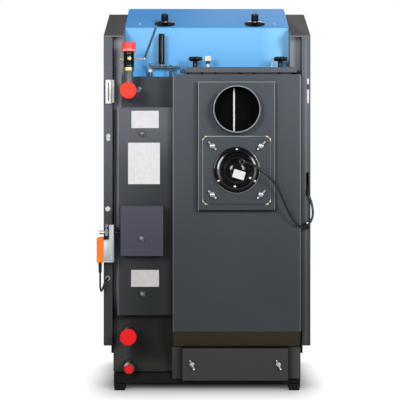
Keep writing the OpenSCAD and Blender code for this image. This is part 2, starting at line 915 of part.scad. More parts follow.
// A tube swept along the points, its rings turned about the fixed direction side
module cord_tube(points, r, side, sides) {
    last = len(points) - 1;
    rings = [
        for (i = [0 : last])
            let (t = unit(points[min(i + 1, last)] - points[max(i - 1, 0)]),
                 u = unit(cross(side, t)),
                 v = cross(t, u))
            for (k = [0 : sides - 1])
                points[i] + r * cos(k * 360 / sides) * u + r * sin(k * 360 / sides) * v
    ];
    walls = [
        for (i = [0 : last - 1], k = [0 : sides - 1])
            let (a = i * sides + k, b = i * sides + (k + 1) % sides)
            each [[a, a + sides, b], [b, a + sides, b + sides]]
    ];
    ends = [
        [for (k = [0 : sides - 1]) k],
        [for (k = [sides - 1 : -1 : 0]) last * sides + k]
    ];
    polyhedron(points = rings, faces = concat(walls, ends));
}

module fan_cable() {
    color("#1d1f1e") cord_tube(fan_cable_route, fan_cable_r, [0, 1, 0], 10);
}

module actuator_cable() {
    color("#2a2c2b") cord_tube(actuator_cable_route, actuator_cable_r, [50, -21, 0], 8);
}

// ------------------------------------------------------------------ front

module front_panel() {
    color("#4a4f56")
        block([-inner_x, front_wall_y - hood_t, plinth_top_h], [inner_x, front_wall_y, deck_h]);
}

module door(low_h, high_h) {
    translate([0, 0, (low_h + high_h) / 2])
        along_y(front_wall_y, door_t)
            rounded_rect(2 * door_x, high_h - low_h, 18);
}

module loading_door() {
    color("#33363a") door(loading_door_h[0], loading_door_h[1]);
}

module ash_door() {
    color("#33363a") door(ash_door_h[0], ash_door_h[1]);
}

module door_hinges() {
    color("#2a2c2f")
        for (h = [loading_door_h[0] + 70, loading_door_h[1] - 70,
                  ash_door_h[0] + 70, ash_door_h[1] - 70])
            translate([door_x + 10, front_wall_y + 14, h - 30]) cylinder(h = 60, r = 10);
}

module door_handles() {
    color("#18181a")
        for (h = [loading_door_h, ash_door_h])
            translate([-door_x + 55, 0, (h[0] + h[1]) / 2]) {
                translate([0, front_wall_y + door_t, 0])
                    rotate([-90, 0, 0]) cylinder(h = handle_out - 10, r = 12);
                translate([0, front_wall_y + door_t + handle_out - handle_r, 0])
                    cylinder(h = 150, r = handle_r);
            }
}

plinth();
feet();
boiler_body();
left_jacket();
right_jacket();
jacket_brackets();
left_top_cover();
right_top_cover();
hood();
hood_knobs();
exchanger_housing();
exchanger_sill();
ash_duct();
ash_cover();
cleaning_cover();
cover_seal();
star_knobs();
cover_sensor();
flue_plate();
flue_pipe();
flue_baffle();
fan_gasket();
fan_plate();
fan_motor();
wing_nuts();
air_duct_cover();
air_box();
actuator_case();
actuator_cover();
actuator_gland();
damper_shaft();
flow_pipe();
return_pipe();
drain_socket();
pipe_caps();
regulator_nut();
regulator_body();
pivot_screw();
regulator_knob();
regulator_lever();
lever_post();
cleaning_lever();
lever_grip();
capped_stub();
edge_connectors();
flange_plugs();
cable_grommet();
cable_clip();
fan_cable();
actuator_cable();
front_panel();
loading_door();
ash_door();
door_hinges();
door_handles();
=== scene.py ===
# A wood gasification boiler seen from the rear: steel jackets, blue hood, flue and fan,
# air damper with its drive, capped water pipes, draught regulator and cleaning lever.
# Metres throughout; the rear faces -Y.

from math import atan2, cos, pi, radians, sin

import bmesh
import bpy
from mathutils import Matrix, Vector


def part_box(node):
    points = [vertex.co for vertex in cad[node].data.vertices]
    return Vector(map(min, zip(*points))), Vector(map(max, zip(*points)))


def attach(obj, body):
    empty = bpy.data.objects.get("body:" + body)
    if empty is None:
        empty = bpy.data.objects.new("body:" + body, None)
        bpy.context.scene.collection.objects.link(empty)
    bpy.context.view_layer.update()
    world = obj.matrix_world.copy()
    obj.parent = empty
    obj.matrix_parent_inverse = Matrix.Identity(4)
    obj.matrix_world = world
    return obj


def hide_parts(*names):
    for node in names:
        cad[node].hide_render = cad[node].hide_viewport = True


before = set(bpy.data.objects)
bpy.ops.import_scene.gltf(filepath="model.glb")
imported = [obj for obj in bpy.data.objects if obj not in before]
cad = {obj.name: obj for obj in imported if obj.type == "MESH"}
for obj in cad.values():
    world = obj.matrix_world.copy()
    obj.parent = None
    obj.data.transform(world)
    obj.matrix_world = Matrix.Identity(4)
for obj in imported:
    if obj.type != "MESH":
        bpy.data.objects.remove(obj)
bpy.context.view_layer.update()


# ---- Camera
# A long lens far behind the boiler, level, at about half its height.
camera_data = bpy.data.cameras.new("rear_camera")
camera_data.sensor_width = 36.0
camera_data.lens = 105.84
camera_data.clip_end = 60
camera = bpy.data.objects.new("rear_camera", camera_data)
camera.location = (-0.0231, -4.234, 0.626)
camera.rotation_euler = (radians(90), 0, 0)
bpy.context.collection.objects.link(camera)
bpy.context.scene.camera = camera


# ---- Fan cable
# The fan motor's round rubber cable: out of the boss on the cover, one loop down to the
# clip on the right jacket's edge, then up and into the slot in that edge.
class Wire:
    """A node's output; sums and products of wires add Math nodes."""

    def __init__(self, nodes, socket):
        self.nodes = nodes
        self.socket = socket

    def math(self, operation, *values):
        sockets = dict(enumerate((self, *values)))
        return self.nodes.node("ShaderNodeMath", {"operation": operation}, sockets)

    def __add__(self, other):
        return self.math("ADD", other)

    __radd__ = __add__

    def __sub__(self, other):
        return self.math("SUBTRACT", other)

    def __rsub__(self, other):
        return self * -1.0 + other

    def __mul__(self, other):
        return self.math("MULTIPLY", other)

    def __truediv__(self, other):
        return self.math("DIVIDE", other)

    def __pow__(self, exponent):
        return self.math("POWER", exponent)

    def __abs__(self):
        return self.math("ABSOLUTE")

    def over(self, limit):
        return self.math("GREATER_THAN", limit)

    def clamped(self):
        return self.math("MAXIMUM", 0.0).math("MINIMUM", 1.0)

    def rise(self, low, high):
        """0 below low, 1 above high, and smooth between."""
        sockets = {"Value": self, "From Min": low, "From Max": high}
        way = {"interpolation_type": "SMOOTHSTEP"}
        return self.nodes.node("ShaderNodeMapRange", way, sockets)


class Nodes:
    """The nodes of a material or of the surround; target is the one that is fed."""

    def __init__(self, holder, target):
        holder.use_nodes = True
        self.tree = holder.node_tree
        self.surface = self.tree.nodes[target]

    def node(self, kind, settings=None, sockets=None, out=0):
        made = self.tree.nodes.new(kind)
        for name, value in (settings or {}).items():
            setattr(made, name, value)
        for name, value in (sockets or {}).items():
            if isinstance(value, Wire):
                self.tree.links.new(value.socket, made.inputs[name])
            else:
                made.inputs[name].default_value = value
        return Wire(self, made.outputs[out])

    def feed(self, **wires):
        for socket, wire in wires.items():
            target = self.surface.inputs[socket.replace("_", " ")]
            self.tree.links.new(wire.socket, target)


class Finish(Nodes):
    """One material, and the slot of the pieces that wear it."""

    def __init__(self, name, slot=None, **constants):
        self.material = bpy.data.materials.new(name)
        super().__init__(self.material, "Principled BSDF")
        self.slot = slot
        for socket, value in constants.items():
            self.surface.inputs[socket.replace("_", " ")].default_value = value
        self.place = self.node("ShaderNodeTexCoord", out="Object")

    def axes(self):
        parts = self.node("ShaderNodeSeparateXYZ", None, {0: self.place})
        return [Wire(self, socket) for socket in parts.socket.node.outputs]

    def noise(self, scale, detail=3.0, stretch=(1, 1, 1)):
        moved = self.node("ShaderNodeMapping", None, {"Vector": self.place, "Scale": stretch})
        sockets = {"Vector": moved, "Scale": scale, "Detail": detail}
        return self.node("ShaderNodeTexNoise", None, sockets)

    def blend(self, first, second, share):
        """A colour between two colours, each a wire or as rgb takes it."""
        first, second = (rgb(*c) if isinstance(c, tuple) else c for c in (first, second))
        sockets = {0: share, 6: first, 7: second}
        return self.node("ShaderNodeMix", {"data_type": "RGBA"}, sockets, out=2)

    def bump(self, height, distance, strength=1.0):
        sockets = {"Height": height, "Distance": distance, "Strength": strength}
        self.feed(Normal=self.node("ShaderNodeBump", None, sockets))

    def put_on(self, piece):
        piece.data.materials.clear()
        piece.data.materials.append(self.material)


def rgb(red, green, blue):
    """A colour as it is seen, 0 to 255 each, made linear."""
    parts = [v / 255 for v in (red, green, blue)]
    linear = [v / 12.92 if v <= 0.04045 else ((v + 0.055) / 1.055) ** 2.4 for v in parts]
    return (*linear, 1.0)


def mottled(name, slot, low, high, grain, shine=None, spread=0.0, **constants):
    """A finish whose colour, and roughness where shine is given, vary with one noise."""
    finish = Finish(name, slot, **constants)
    cloud = finish.noise(*grain)
    finish.feed(Base_Color=finish.blend(low, high, cloud))
    if shine:
        finish.feed(Roughness=shine + cloud * spread)
    return finish


def moulded(name, slot, low, high, cloud, grain, shine, spread, depth=None, **constants):
    """A moulding: one noise for its colour, a finer one for its roughness and relief."""
    finish = mottled(name, slot, low, high, cloud, **constants)
    fine = finish.noise(*grain)
    finish.feed(Roughness=shine + fine * spread)
    if depth:
        finish.bump(fine, depth, 0.3)
    return finish


fan_route = [
    (119, -486.5, 747), (134, -486.5, 744), (150, -486.5, 737), (166, -486, 726),
    (190, -482, 707), (212, -475, 686), (228, -469, 662), (240, -463, 636),
    (251, -456, 612), (262, -448, 588), (275, -438, 565), (288, -429, 549),
    (300, -420, 540), (313, -411.5, 538), (326, -403, 543), (337, -397, 553),
    (344, -394, 568), (346, -394, 585), (344, -393, 604), (340, -392, 622),
    (334, -391, 637), (329.5, -387, 652), (329, -379, 667), (329, -369, 681),
    (329, -360, 694),
]
cable_rubber = moulded(
    "cable_rubber", "cable_rubber", (10, 11, 11), (24, 25, 25), (60,), (900, 2), 0.24, 0.14, 0.0002,
    Specular_IOR_Level=0.5,
)


def lay_cord(name, route, radius, node):
    """A round cable as one smooth curve along its route, given in millimetres from its
    exit, in place of the model's own."""
    curve = bpy.data.curves.new(name, "CURVE")
    curve.dimensions = "3D"
    curve.bevel_depth = radius
    curve.bevel_resolution = 5
    curve.resolution_u = 6
    curve.use_fill_caps = True
    line = curve.splines.new("NURBS")
    points = [Vector(point) / 1000 for point in route]
    line.points.add(len(points) - 1)
    for knot, point in zip(line.points, points):
        knot.co = (*point, 1)
    line.order_u = 3
    line.use_endpoint_u = True
    cable = bpy.data.objects.new(name, curve)
    bpy.context.collection.objects.link(cable)
    cable_rubber.put_on(cable)
    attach(cable, "boiler")
    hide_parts(node)


lay_cord("fan_lead", fan_route, 0.0038, "fan_cable")


# ---- Actuator cable
# The thinner control cable of the damper drive: down from the gland, one U-bend, and up
# into the grommet on the left jacket's edge.
actuator_route = [
    (-345, -442, 392), (-345, -442, 384), (-345, -442, 376), (-345, -442, 368),
    (-345, -442, 361), (-345, -442, 353.5), (-344.9, -440.2, 344.7), (-344.6, -435.3, 337.2),
    (-344, -427.8, 332.3), (-343.1, -419, 330.5), (-341.8, -410.2, 332.3), (-340.1, -402.7, 337.2),
    (-337.9, -397.8, 344.7), (-335.2, -396, 353.5), (-332.2, -393.6, 360.3),
    (-329, -389.4, 365.3), (-325.5, -384, 369),
]
lay_cord("drive_lead", actuator_route, 0.0032, "actuator_cable")


# ---- Floor, background and light
# A pale floor, a white surround and four lamps: one on each side of the camera, one over
# the boiler and one on the side of the doors.
scene = bpy.context.scene
scene.view_settings.view_transform = "Standard"

surround = bpy.data.worlds.new("surround")
scene.world = surround
sky = Nodes(surround, "Background")
sky.surface.inputs["Color"].default_value = (1, 1, 1, 1)
camera_ray, through_ray = (
    sky.node("ShaderNodeLightPath", out=f"Is {ray} Ray") for ray in ("Camera", "Transmission")
)
shown = {"Value": camera_ray.math("MAXIMUM", through_ray), "To Min": 0.22, "To Max": 1.0}
sky.feed(Strength=sky.node("ShaderNodeMapRange", None, shown))

bpy.ops.mesh.primitive_plane_add(size=9, location=(0, 0.6, -0.0005))
floor = bpy.context.object
floor.name = "floor"
floor_paint = Finish("floor_paint", Roughness=0.9)
x, y, z = floor_paint.axes()
# Under the boiler the floor's glow fades and its colour darkens: a painted shadow.
along = y.rise(-1.3, -0.8) * (1.0 - y.rise(-0.4, -0.15))
under = (1.0 - abs(x).rise(0.26, 0.44)) * along
seen = floor_paint.node("ShaderNodeLightPath", out="Is Camera Ray")
lit = floor_paint.node("ShaderNodeMixShader", None, {
    0: (0.62 - under * 0.62) * seen,
    1: Wire(floor_paint, floor_paint.surface.outputs[0]),
    2: floor_paint.node("ShaderNodeEmission", None, {"Strength": 1.5}),
})
output = floor_paint.tree.nodes["Material Output"]
floor_paint.tree.links.new(lit.socket, output.inputs["Surface"])
painted_shadow = under * y.rise(-1.02, -0.82)
floor_paint.feed(Base_Color=floor_paint.blend((231, 231, 231), (49, 49, 49), painted_shadow))
floor_paint.put_on(floor)


def lamp(name, place, aim, size, power):
    light = bpy.data.lights.new(name, "AREA")
    light.shape = "RECTANGLE"
    light.size, light.size_y = size
    light.energy = power
    made = bpy.data.objects.new(name, light)
    made.location = place
    made.rotation_euler = (Vector(aim) - Vector(place)).to_track_quat("-Z", "Y").to_euler()
    bpy.context.collection.objects.link(made)


lamp("key_lamp", (-1.6, -4.4, 1.6), (0, -0.4, 0.85), (1.2, 1.2), 84)
lamp("fill_lamp", (2.2, -4.0, 1.7), (0, -0.4, 0.8), (1.1, 1.6), 100)
lamp("top_lamp", (0, 0.2, 3.6), (0, 0, 1.0), (2.6, 2.6), 7)
lamp("front_lamp", (1.2, 4.0, 2.6), (0, 0.4, 0.8), (2.4, 2.4), 45)


# ---- Plinth and feet
# A black-painted steel frame under the body, on four short tapered feet.
def coat(finish, node, width, angle=35):
    """Rounds the sharp edges of one of the model's own pieces and paints it."""
    piece = cad[node]
    weld = piece.modifiers.new("weld", "WELD")
    weld.merge_threshold = 0.00001
    flat = piece.modifiers.new("flat", "DECIMATE")
    flat.decimate_type = "DISSOLVE"
    flat.angle_limit = radians(1)
    round_over = piece.modifiers.new("round_over", "BEVEL")
    round_over.width = width
    round_over.segments = 2
    round_over.limit_method = "ANGLE"
    round_over.angle_limit = radians(angle)
    round_over.harden_normals = True
    finish.put_on(piece)


def powder(name, low, high, shine=0.4, patchy=0.5, lit_edges=(), patches=(), left_light=None):
    """Powder paint, painted darker towards the floor as shade and with painted highlights along
    its edges, each an axis, a place and a strength; a patch is another colour that sets in from one
    place to the next along x, off x = 0, along z or into the lower left corner; given a place on x,
    the paint is made brighter towards -x from there, as painted light."""
    finish = Finish(name, Specular_IOR_Level=0.18)
    x, y, z = finish.axes()
    cloud = finish.noise(2.2, 2)
    peel = finish.noise(420, 2)
    wiped = finish.noise(7, 5, (1, 1, 0.35))
    # Darker towards the floor: painted shade.
    height = z.rise(0.25, 1.15)
    if left_light:
        height = height + (left_light - x) * 2.0
    colour = finish.blend(low, high, (height + (cloud - 0.5) * patchy).clamped())
    along = {"x": x, "off": abs(x), "z": z, "corner": z.math("MAXIMUM", x * 3.0 + 1.0)}
    for axis, bare, full, other in patches:
        away = along[axis]
        share = away.rise(bare, full) if bare < full else 1.0 - away.rise(full, bare)
        colour = finish.blend(colour, other, share)
    # Pale lines along the given edges: painted highlights.
    for axis, place, strength in lit_edges:
        away = abs((x, y, z)[axis] - place)
        near = 1.0 - away.rise(0.0018, 0.0042)
        edge_highlight = near * (0.4 + wiped * 0.5) * (0.3 + height * 0.7) * strength
        colour = finish.blend(colour, (140, 145, 151), edge_highlight.clamped())
    finish.feed(Base_Color=colour, Roughness=shine + (wiped - 0.5) * 0.16 + (peel - 0.5) * 0.08)
    finish.bump(peel, 0.00025, 0.35)
    return finish


black_paint = powder("black_paint", (5, 5, 5), (26, 27, 29), shine=0.6)
coat(black_paint, "plinth", 0.002)
coat(black_paint, "feet", 0.002)
coat(black_paint, "jacket_brackets", 0.001)


# ---- Boiler body
# The welded steel shell, seen between the jackets and behind the pipes, in dark paint
# with weld beads round the pipe sockets.
# Painted paler in the narrow gaps beside the jackets, towards the floor and into the lower left
# corner, as painted light; much darker low in the recess under the duct cover, as painted shade;
# paler above the deck.
body_paint = powder("body_paint", (16, 16, 15), (60, 64, 69), shine=0.5, patches=(
    ("off", 0.281, 0.286, (134, 139, 144)), ("z", 0.34, 0.24, (16, 16, 15)),
    ("z", 1.03, 1.07, (138, 140, 147)), ("z", 0.12, 0.07, (38, 38, 36)),
    ("corner", 0.27, 0.18, (50, 50, 49)),
))
coat(body_paint, "boiler_body", 0.002)


def start(kind, name, **how):
    """A new primitive, alone selected."""
    getattr(bpy.ops.mesh, f"primitive_{kind}_add")(**how)
    piece = bpy.context.object
    piece.name = piece.data.name = name
    return piece


def choose(piece, faces=None, edges=None):
    """Edit mode, with only the faces or edges selected that pass the test."""
    if piece.mode != "EDIT":
        bpy.context.view_layer.objects.active = piece
        bpy.ops.object.mode_set(mode="EDIT")
    bpy.ops.mesh.select_mode(type="FACE" if faces else "EDGE")
    bpy.ops.mesh.select_all(action="DESELECT")
    shape = bmesh.from_edit_mesh(piece.data)
    for face in shape.faces if faces else ():
        face.select_set(bool(faces(face.calc_center_median(), face.normal)))
    for edge in shape.edges if edges else ():
        first, second = (corner.co for corner in edge.verts)
        edge.select_set(bool(edges(first, second)))
    bmesh.update_edit_mesh(piece.data)


def push(x=0, y=0, z=0):
    """Extrudes the selected faces and moves them."""
    bpy.ops.mesh.extrude_region_move(TRANSFORM_OT_translate={"value": (x, y, z)})


def resize(x, y, z):
    """Resizes what is selected."""
    bpy.ops.transform.resize(value=(x, y, z))


def ring_edge(radius, height, slack=0.0003):
    """A test for the edges of a circle round the Z axis."""

    def test(first, second):
        return all(
            abs(corner.xy.length - radius) < slack and abs(corner.z - height) < slack
            for corner in (first, second)
        )

    return test


def settle(
    piece, finish, place, turn=(0, 0, 0), body="boiler", angle=35, instead=None
):
    """Puts the piece made last in its place with its finish, and hands it to its body;
    instead names the model's own piece that it stands for."""
    bpy.ops.object.mode_set(mode="OBJECT")
    piece.location = place
    piece.rotation_euler = [radians(a) for a in turn]
    bpy.ops.object.transform_apply()
    bpy.ops.object.mode_set(mode="EDIT")
    bpy.ops.mesh.select_all(action="SELECT")
    bpy.ops.mesh.remove_doubles(threshold=0.00001)
    bpy.ops.mesh.normals_make_consistent()
    bpy.ops.object.mode_set(mode="OBJECT")
    bpy.ops.object.shade_smooth_by_angle(angle=radians(angle))
    finish.put_on(piece)
    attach(piece, body)
    if instead:
        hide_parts(instead)


def every(first, second):
    """A test that every face or edge passes."""
    return True


def level(first, second):
    """A test for the edges that lie flat."""
    return abs(first.z - second.z) < 1e-6


def round_side(centre, normal):
    """A test for the faces round the Z axis."""
    return abs(normal.z) < 0.5


def facing(x=0, y=0, z=0, least=0.99):
    """A test for the faces that look one way."""
    way = Vector((x, y, z))
    return lambda centre, normal: normal.dot(way) > least


top_face = facing(z=1, least=0.9)


def end_face(height, way):
    """A test for the faces at one end of the Z axis."""
    return lambda centre, normal: normal.z * way > 0.99 and abs(centre.z - height) < 0.0001


def bevel(piece, width, segments, edges=every):
    choose(piece, edges=edges)
    bpy.ops.mesh.bevel(offset=width, segments=segments)


def inset(piece, faces, *steps):
    """Insets the faces that pass the test, once for each thickness and depth."""
    choose(piece, faces=faces)
    for thickness, depth in steps:
        bpy.ops.mesh.inset(thickness=thickness, depth=depth)


def scaled(piece, *size):
    """Gives a new primitive of size 1 its size."""
    piece.scale = size
    bpy.ops.object.transform_apply()
    return piece


def block(name, size, width, segments, edges=every):
    """A box with bevelled edges."""
    piece = scaled(start("cube", name, size=1), *size)
    bevel(piece, width, segments, edges)
    return piece


def rod(name, vertices, radius, depth):
    return start("cylinder", name, vertices=vertices, radius=radius, depth=depth)


def disc(name, vertices, radius, depth, width, segments, edges=None):
    """A rod with its outer rim bevelled, or the edges that pass the test."""
    piece = rod(name, vertices, radius, depth)
    bevel(piece, width, segments, edges or ring_edge(radius, depth / 2))
    return piece


def torus(name, radius, thickness, around=48, across=8):
    return start(
        "torus", name, major_radius=radius, minor_radius=thickness,
        major_segments=around, minor_segments=across,
    )


def centre_of(node):
    """The middle of the box of one of the model's own pieces."""
    low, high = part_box(node)
    return (low + high) / 2


# The lower beads are painted darker than the upper one: painted shade.
weld_metal = Finish("weld_metal", "dark_steel", Metallic=0.6)
ripple = weld_metal.noise(300, 3)
weld_metal.feed(
    Base_Color=weld_metal.blend(
        weld_metal.blend((20, 21, 22), (44, 46, 48), ripple),
        weld_metal.blend((52, 54, 57), (96, 98, 101), ripple),
        weld_metal.axes()[2].rise(0.2, 0.9),
    ),
    Roughness=0.42 + ripple * 0.2,
)
weld_metal.bump(ripple, 0.0008, 0.6)
wall_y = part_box("boiler_body")[0].y
pipe_x = centre_of("return_pipe")[0]
flow_h, return_h, drain_h = 0.979, 0.185, 0.077
to_rear = (90, 0, 0)
for name, height, radius in (
    ("flow", flow_h, 0.02415), ("return", return_h, 0.02415), ("drain", drain_h, 0.0185)
):
    bead = torus(f"{name}_weld", radius + 0.001, 0.0038, around=72, across=10)
    choose(bead, faces=lambda centre, normal: int(atan2(centre.y, centre.x) * 36 / pi) % 2 == 0)
    resize(1.018, 1.018, 1.1)
    settle(bead, weld_metal, (pipe_x, wall_y - 0.001, height), to_rear, angle=60)


# ---- Side jackets
# Insulated side panels of folded sheet, powder coated anthracite; their rear edges show
# as flanges, the right one with the slot for the fan cable.
anthracite = powder("anthracite_coat", (46, 47, 48), (88, 92, 100), shine=0.38)
# The right jacket's coat is painted a little paler than the left's, as lit from the right, with a
# painted highlight along its edge.
flange_coat = powder(
    "flange_coat", (46, 47, 48), (94, 99, 107), shine=0.38, lit_edges=((0, 0.3247, 0.5),),
)
coat(anthracite, "left_jacket", 0.0018)
coat(anthracite, "front_panel", 0.0018)
coat(flange_coat, "right_jacket", 0.0018)


def lip(name, finish, left, right, foot, top, back, thickness=0.0015):
    """A thin strip between two panels, such as a folded lip, or a black strip behind a cover that
    stands for its shadow line.
    """
    strip = block(name, (right - left, thickness, top - foot), 0.0004, 1)
    settle(strip, finish, ((left + right) / 2, back, (foot + top) / 2))


lip("jacket_lip", flange_coat, 0.3048, 0.3112, 0.197, 1.03, -0.3806)


# ---- Side top covers
# The slanted caps on the jackets, in a warmer, darker brown-grey.
cover_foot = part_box("left_top_cover")[0].z
# A pale line along the covers' lower edge is a painted highlight.
top_coat = powder(
    "top_cover_coat", (66, 62, 62), (85, 81, 81), shine=0.55, patchy=0.9,
    lit_edges=((2, cover_foot + 0.001, 0.8),),
)
coat(top_coat, "left_top_cover", 0.0012)
coat(top_coat, "right_top_cover", 0.0012)


# ---- Hood
# The light-blue sheet hood; two pan-head screws hold its slope, and its lower edge stands
# behind the deck.
blue_coat = Finish("blue_coat", Specular_IOR_Level=0.25)
x, y, z = blue_coat.axes()
cloud = blue_coat.noise(3, 2)
peel = blue_coat.noise(380, 2)
# The upright face is painted paler higher up, more saturated at its foot and paler towards its
# right end; the slope is painted darker than the upright face, with a darker line at the bend:
# painted light and shade.
fall = z.rise(1.02, 1.2)
upright = blue_coat.blend((98, 175, 238), (118, 189, 243), (fall + (cloud - 0.5) * 0.35).clamped())
upright = blue_coat.blend((82, 176, 250), upright, z.rise(1.035, 1.085))
upright = blue_coat.blend(upright, (134, 204, 250), x.rise(0.17, 0.235))
sloping = blue_coat.blend((72, 165, 250), (90, 180, 255), cloud)
sloping = blue_coat.blend((66, 140, 220), sloping, z.rise(1.2045, 1.2065))
blue_coat.feed(
    Base_Color=blue_coat.blend(upright, sloping, (z.rise(1.2018, 1.2038) + y.over(0.0)).clamped()),
    Roughness=0.3 + (blue_coat.noise(6, 4) - 0.5) * 0.14,
)
blue_coat.bump(peel, 0.0002, 0.3)
coat(blue_coat, "hood", 0.0022, angle=15)

lean = (23.4, 0, 0)
slope = radians(lean[0])
hood_bend = Vector((0, -0.29, 1.2058))


def on_slope(x, up):
    """A place on the hood's slope, up behind its bend."""
    return Vector((x, hood_bend.y + up, hood_bend.z + up * 0.4327))


steel = mottled(
    "bright_steel", "zinc", (150, 152, 155), (205, 207, 210), (500, 3), 0.24, 0.18, Metallic=1.0
)
ivory = mottled(
    "ivory_moulding", "white_plastic", (216, 216, 208), (240, 240, 234), (60,), 0.35, 0.15
)


def pan_screw(name, radius, place, turn, finish=steel):
    """A domed screw head with a cross recess."""
    screw = rod(name, 24, radius, radius * 0.5)
    inset(screw, top_face, (radius * 0.35, radius * 0.16), (radius * 0.3, radius * 0.05))
    push(z=-radius * 0.3)
    settle(screw, finish, place, turn, angle=50)


for side, x in (("left", -0.226), ("right", 0.231)):
    pan_screw(f"hood_screw_{side}", 0.0042, on_slope(x, 0.036), lean, finish=ivory)


# ---- Hood knobs
# Black moulded knobs that lock the hood: a wide domed washer on the slope, a bright
# collar, and a fluted cap.
black = moulded(
    "black_moulding", "black_plastic", (11, 11, 12), (24, 24, 26), (40,), (700, 2), 0.2, 0.12,
    0.00015, Specular_IOR_Level=0.3,
)
jet = moulded(
    "jet_moulding", "black_plastic", (4, 4, 5), (14, 14, 15), (50,), (30,), 0.12, 0.1,
    Specular_IOR_Level=0.08,
)


def fluted(name, radius, height, count, depth, base=0.0, round_top=0.002):
    """An upright grip with count flutes down its side and a rounded top."""
    grip = rod(name, count * 4, radius, height)
    grip.location.z = base + height / 2
    bpy.ops.object.transform_apply()
    bevel(grip, round_top, 3, ring_edge(radius, base + height))
    bevel(grip, round_top * 0.3, 2, ring_edge(radius, base))
    step = pi / (count * 2)
    side_middle = base + height / 2 - round_top * 0.35
    choose(grip, faces=lambda centre, normal: abs(centre.z - side_middle) < round_top * 0.2
           and int((atan2(centre.y, centre.x) + 2 * pi) / step) % 4 in (0, 1))
    bpy.ops.mesh.inset(thickness=radius * 0.03, depth=-depth)
    inset(grip, end_face(base + height, 1), (radius * 0.3, 0), (radius * 0.08, -radius * 0.05))
    return grip


def bore(piece, wall, depth):
    """Sinks a round hole into the piece's lowest face, leaving the wall round it."""
    foot = min(corner[2] for corner in piece.bound_box)
    inset(piece, end_face(foot, -1), (wall, 0))
    push(z=depth)


out_of_slope = Vector((0, -sin(slope), cos(slope)))
for side, x in (("left", -0.142), ("right", 0.162)):
    foot = on_slope(x, 0.035)
    washer = rod(f"hood_washer_{side}", 64, 0.0345, 0.0035)
    inset(washer, top_face, (0.006, 0.0012), (0.011, 0.0012), (0.005, 0.0016))
    bevel(washer, 0.001, 2, ring_edge(0.0345, 0.00175))
    settle(washer, jet, foot + out_of_slope * 0.0018, lean, instead="hood_knobs")
    collar = disc(f"hood_collar_{side}", 40, 0.0098, 0.005, 0.0012, 2, edges=level)
    settle(collar, steel, foot + out_of_slope * 0.0088, lean)
    cap = fluted(f"hood_knob_{side}", 0.0122, 0.0235, 12, 0.0011, base=0.0112, round_top=0.0035)
    settle(cap, black, foot, lean)


# ---- Exchanger housing and its sill
# The upright housing on the right, with painted highlights along its side edges, and the darker
# sill that slopes in under it.
house_low, house_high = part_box("exchanger_housing")
housing_coat = powder(
    "housing_coat", (50, 54, 58), (76, 82, 89), shine=0.4,
    lit_edges=((0, house_low.x, 1.0), (0, house_high.x, 1.2)),
)
coat(housing_coat, "exchanger_housing", 0.0028)
# Black along the sill's lower edge: a painted shadow line.
sill_paint = powder(
    "sill_paint", (49, 43, 28), (62, 54, 36), shine=0.5, patchy=0.8,
    patches=(("z", 0.1495, 0.1475, (10, 10, 9)),),
)
coat(sill_paint, "exchanger_sill", 0.001)


# ---- Ash duct and its cover
# The cleaning duct under the housing: a flat cover with soft corners, held by two wing nuts;
# a black strip behind it shows above and beside it as a painted shadow line.
duct_paint = powder("ash_duct_paint", (28, 28, 27), (32, 32, 30), shine=0.5, patches=(
    ("x", 0.266, 0.297, (58, 58, 56)), ("x", -0.085, -0.112, (48, 48, 46)),
))
coat(duct_paint, "ash_duct", 0.0015)
ash_paint = powder("ash_paint", (52, 52, 50), (64, 64, 64), shine=0.5)
coat(ash_paint, "ash_cover", 0.002)
ash_low, ash_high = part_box("ash_cover")
# A black strip behind the cover, showing above and beside it: a painted shadow line.
lip("ash_shadow_strip", jet, ash_low.x - 0.0015, ash_high.x + 0.0015, ash_high.z - 0.0865,
    ash_high.z + 0.0035, ash_high.y - 0.0009, thickness=0.0018)


# ---- Cleaning cover, its seal, star knobs and sensor
# A steel lid on a rope seal that bulges between the knobs; a star knob at each end, a
# white plug-in sensor, and a thin stud.
coat(anthracite, "cleaning_cover", 0.0022)
low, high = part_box("cover_seal")
twist = (350, 4, (1, 1, 3))
seal_rope = mottled("seal_rope", "seal_cord", (20, 20, 21), (52, 51, 49), twist, Roughness=0.9)
seal_rope.bump(seal_rope.noise(*twist), 0.0008, 0.8)
seal = scaled(start("cube", "lid_seal", size=1), high.x - low.x, 0.012, high.z - low.z)
choose(seal, faces=every)
bpy.ops.mesh.subdivide(number_cuts=5)
choose(seal, edges=lambda a, b: abs(a.x - b.x) > 0.01)
bpy.ops.mesh.subdivide(number_cuts=7)
choose(seal, faces=lambda centre, normal: normal.y < -0.9 and int((centre.x + 1) / 0.021) % 2 == 0)
bpy.ops.transform.translate(value=(0, -0.0016, 0))
middle = centre_of("cover_seal")
settle(seal, seal_rope, (middle.x, low.y + 0.006, middle.z), angle=60)
seal_rope.put_on(cad["cover_seal"])


def smooth(piece):
    """Rounds the whole piece and applies that."""
    rounding = piece.modifiers.new("rounding", "SUBSURF")
    rounding.levels = rounding.render_levels = 2
    bpy.ops.object.mode_set(mode="OBJECT")
    bpy.ops.object.modifier_apply(modifier="rounding")


lid_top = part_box("cleaning_cover")[1].z
knob_y = -0.352
for side, x in (("left", -0.039), ("right", 0.242)):
    star = rod(f"star_knob_{side}", 20, 0.0155, 0.0125)
    choose(star, faces=lambda centre, normal: round_side(centre, normal)
           and int((atan2(centre.y, centre.x) + 2 * pi + 0.01) / (pi / 10)) % 4 in (0, 1))
    push()
    resize(1.58, 1.58, 0.84)
    inset(star, top_face, (0.003, 0.0014))
    smooth(star)
    settle(star, black, (x, knob_y, lid_top + 0.0318), (0, 0, 54), angle=60,
           instead="star_knobs")
    stem = rod(f"star_stem_{side}", 32, 0.0098, 0.026)
    choose(stem, faces=round_side)
    bpy.ops.mesh.inset(thickness=0.004, depth=0, use_boundary=True)
    resize(0.84, 0.84, 1)
    settle(stem, black, (x, knob_y, lid_top + 0.013), angle=60)

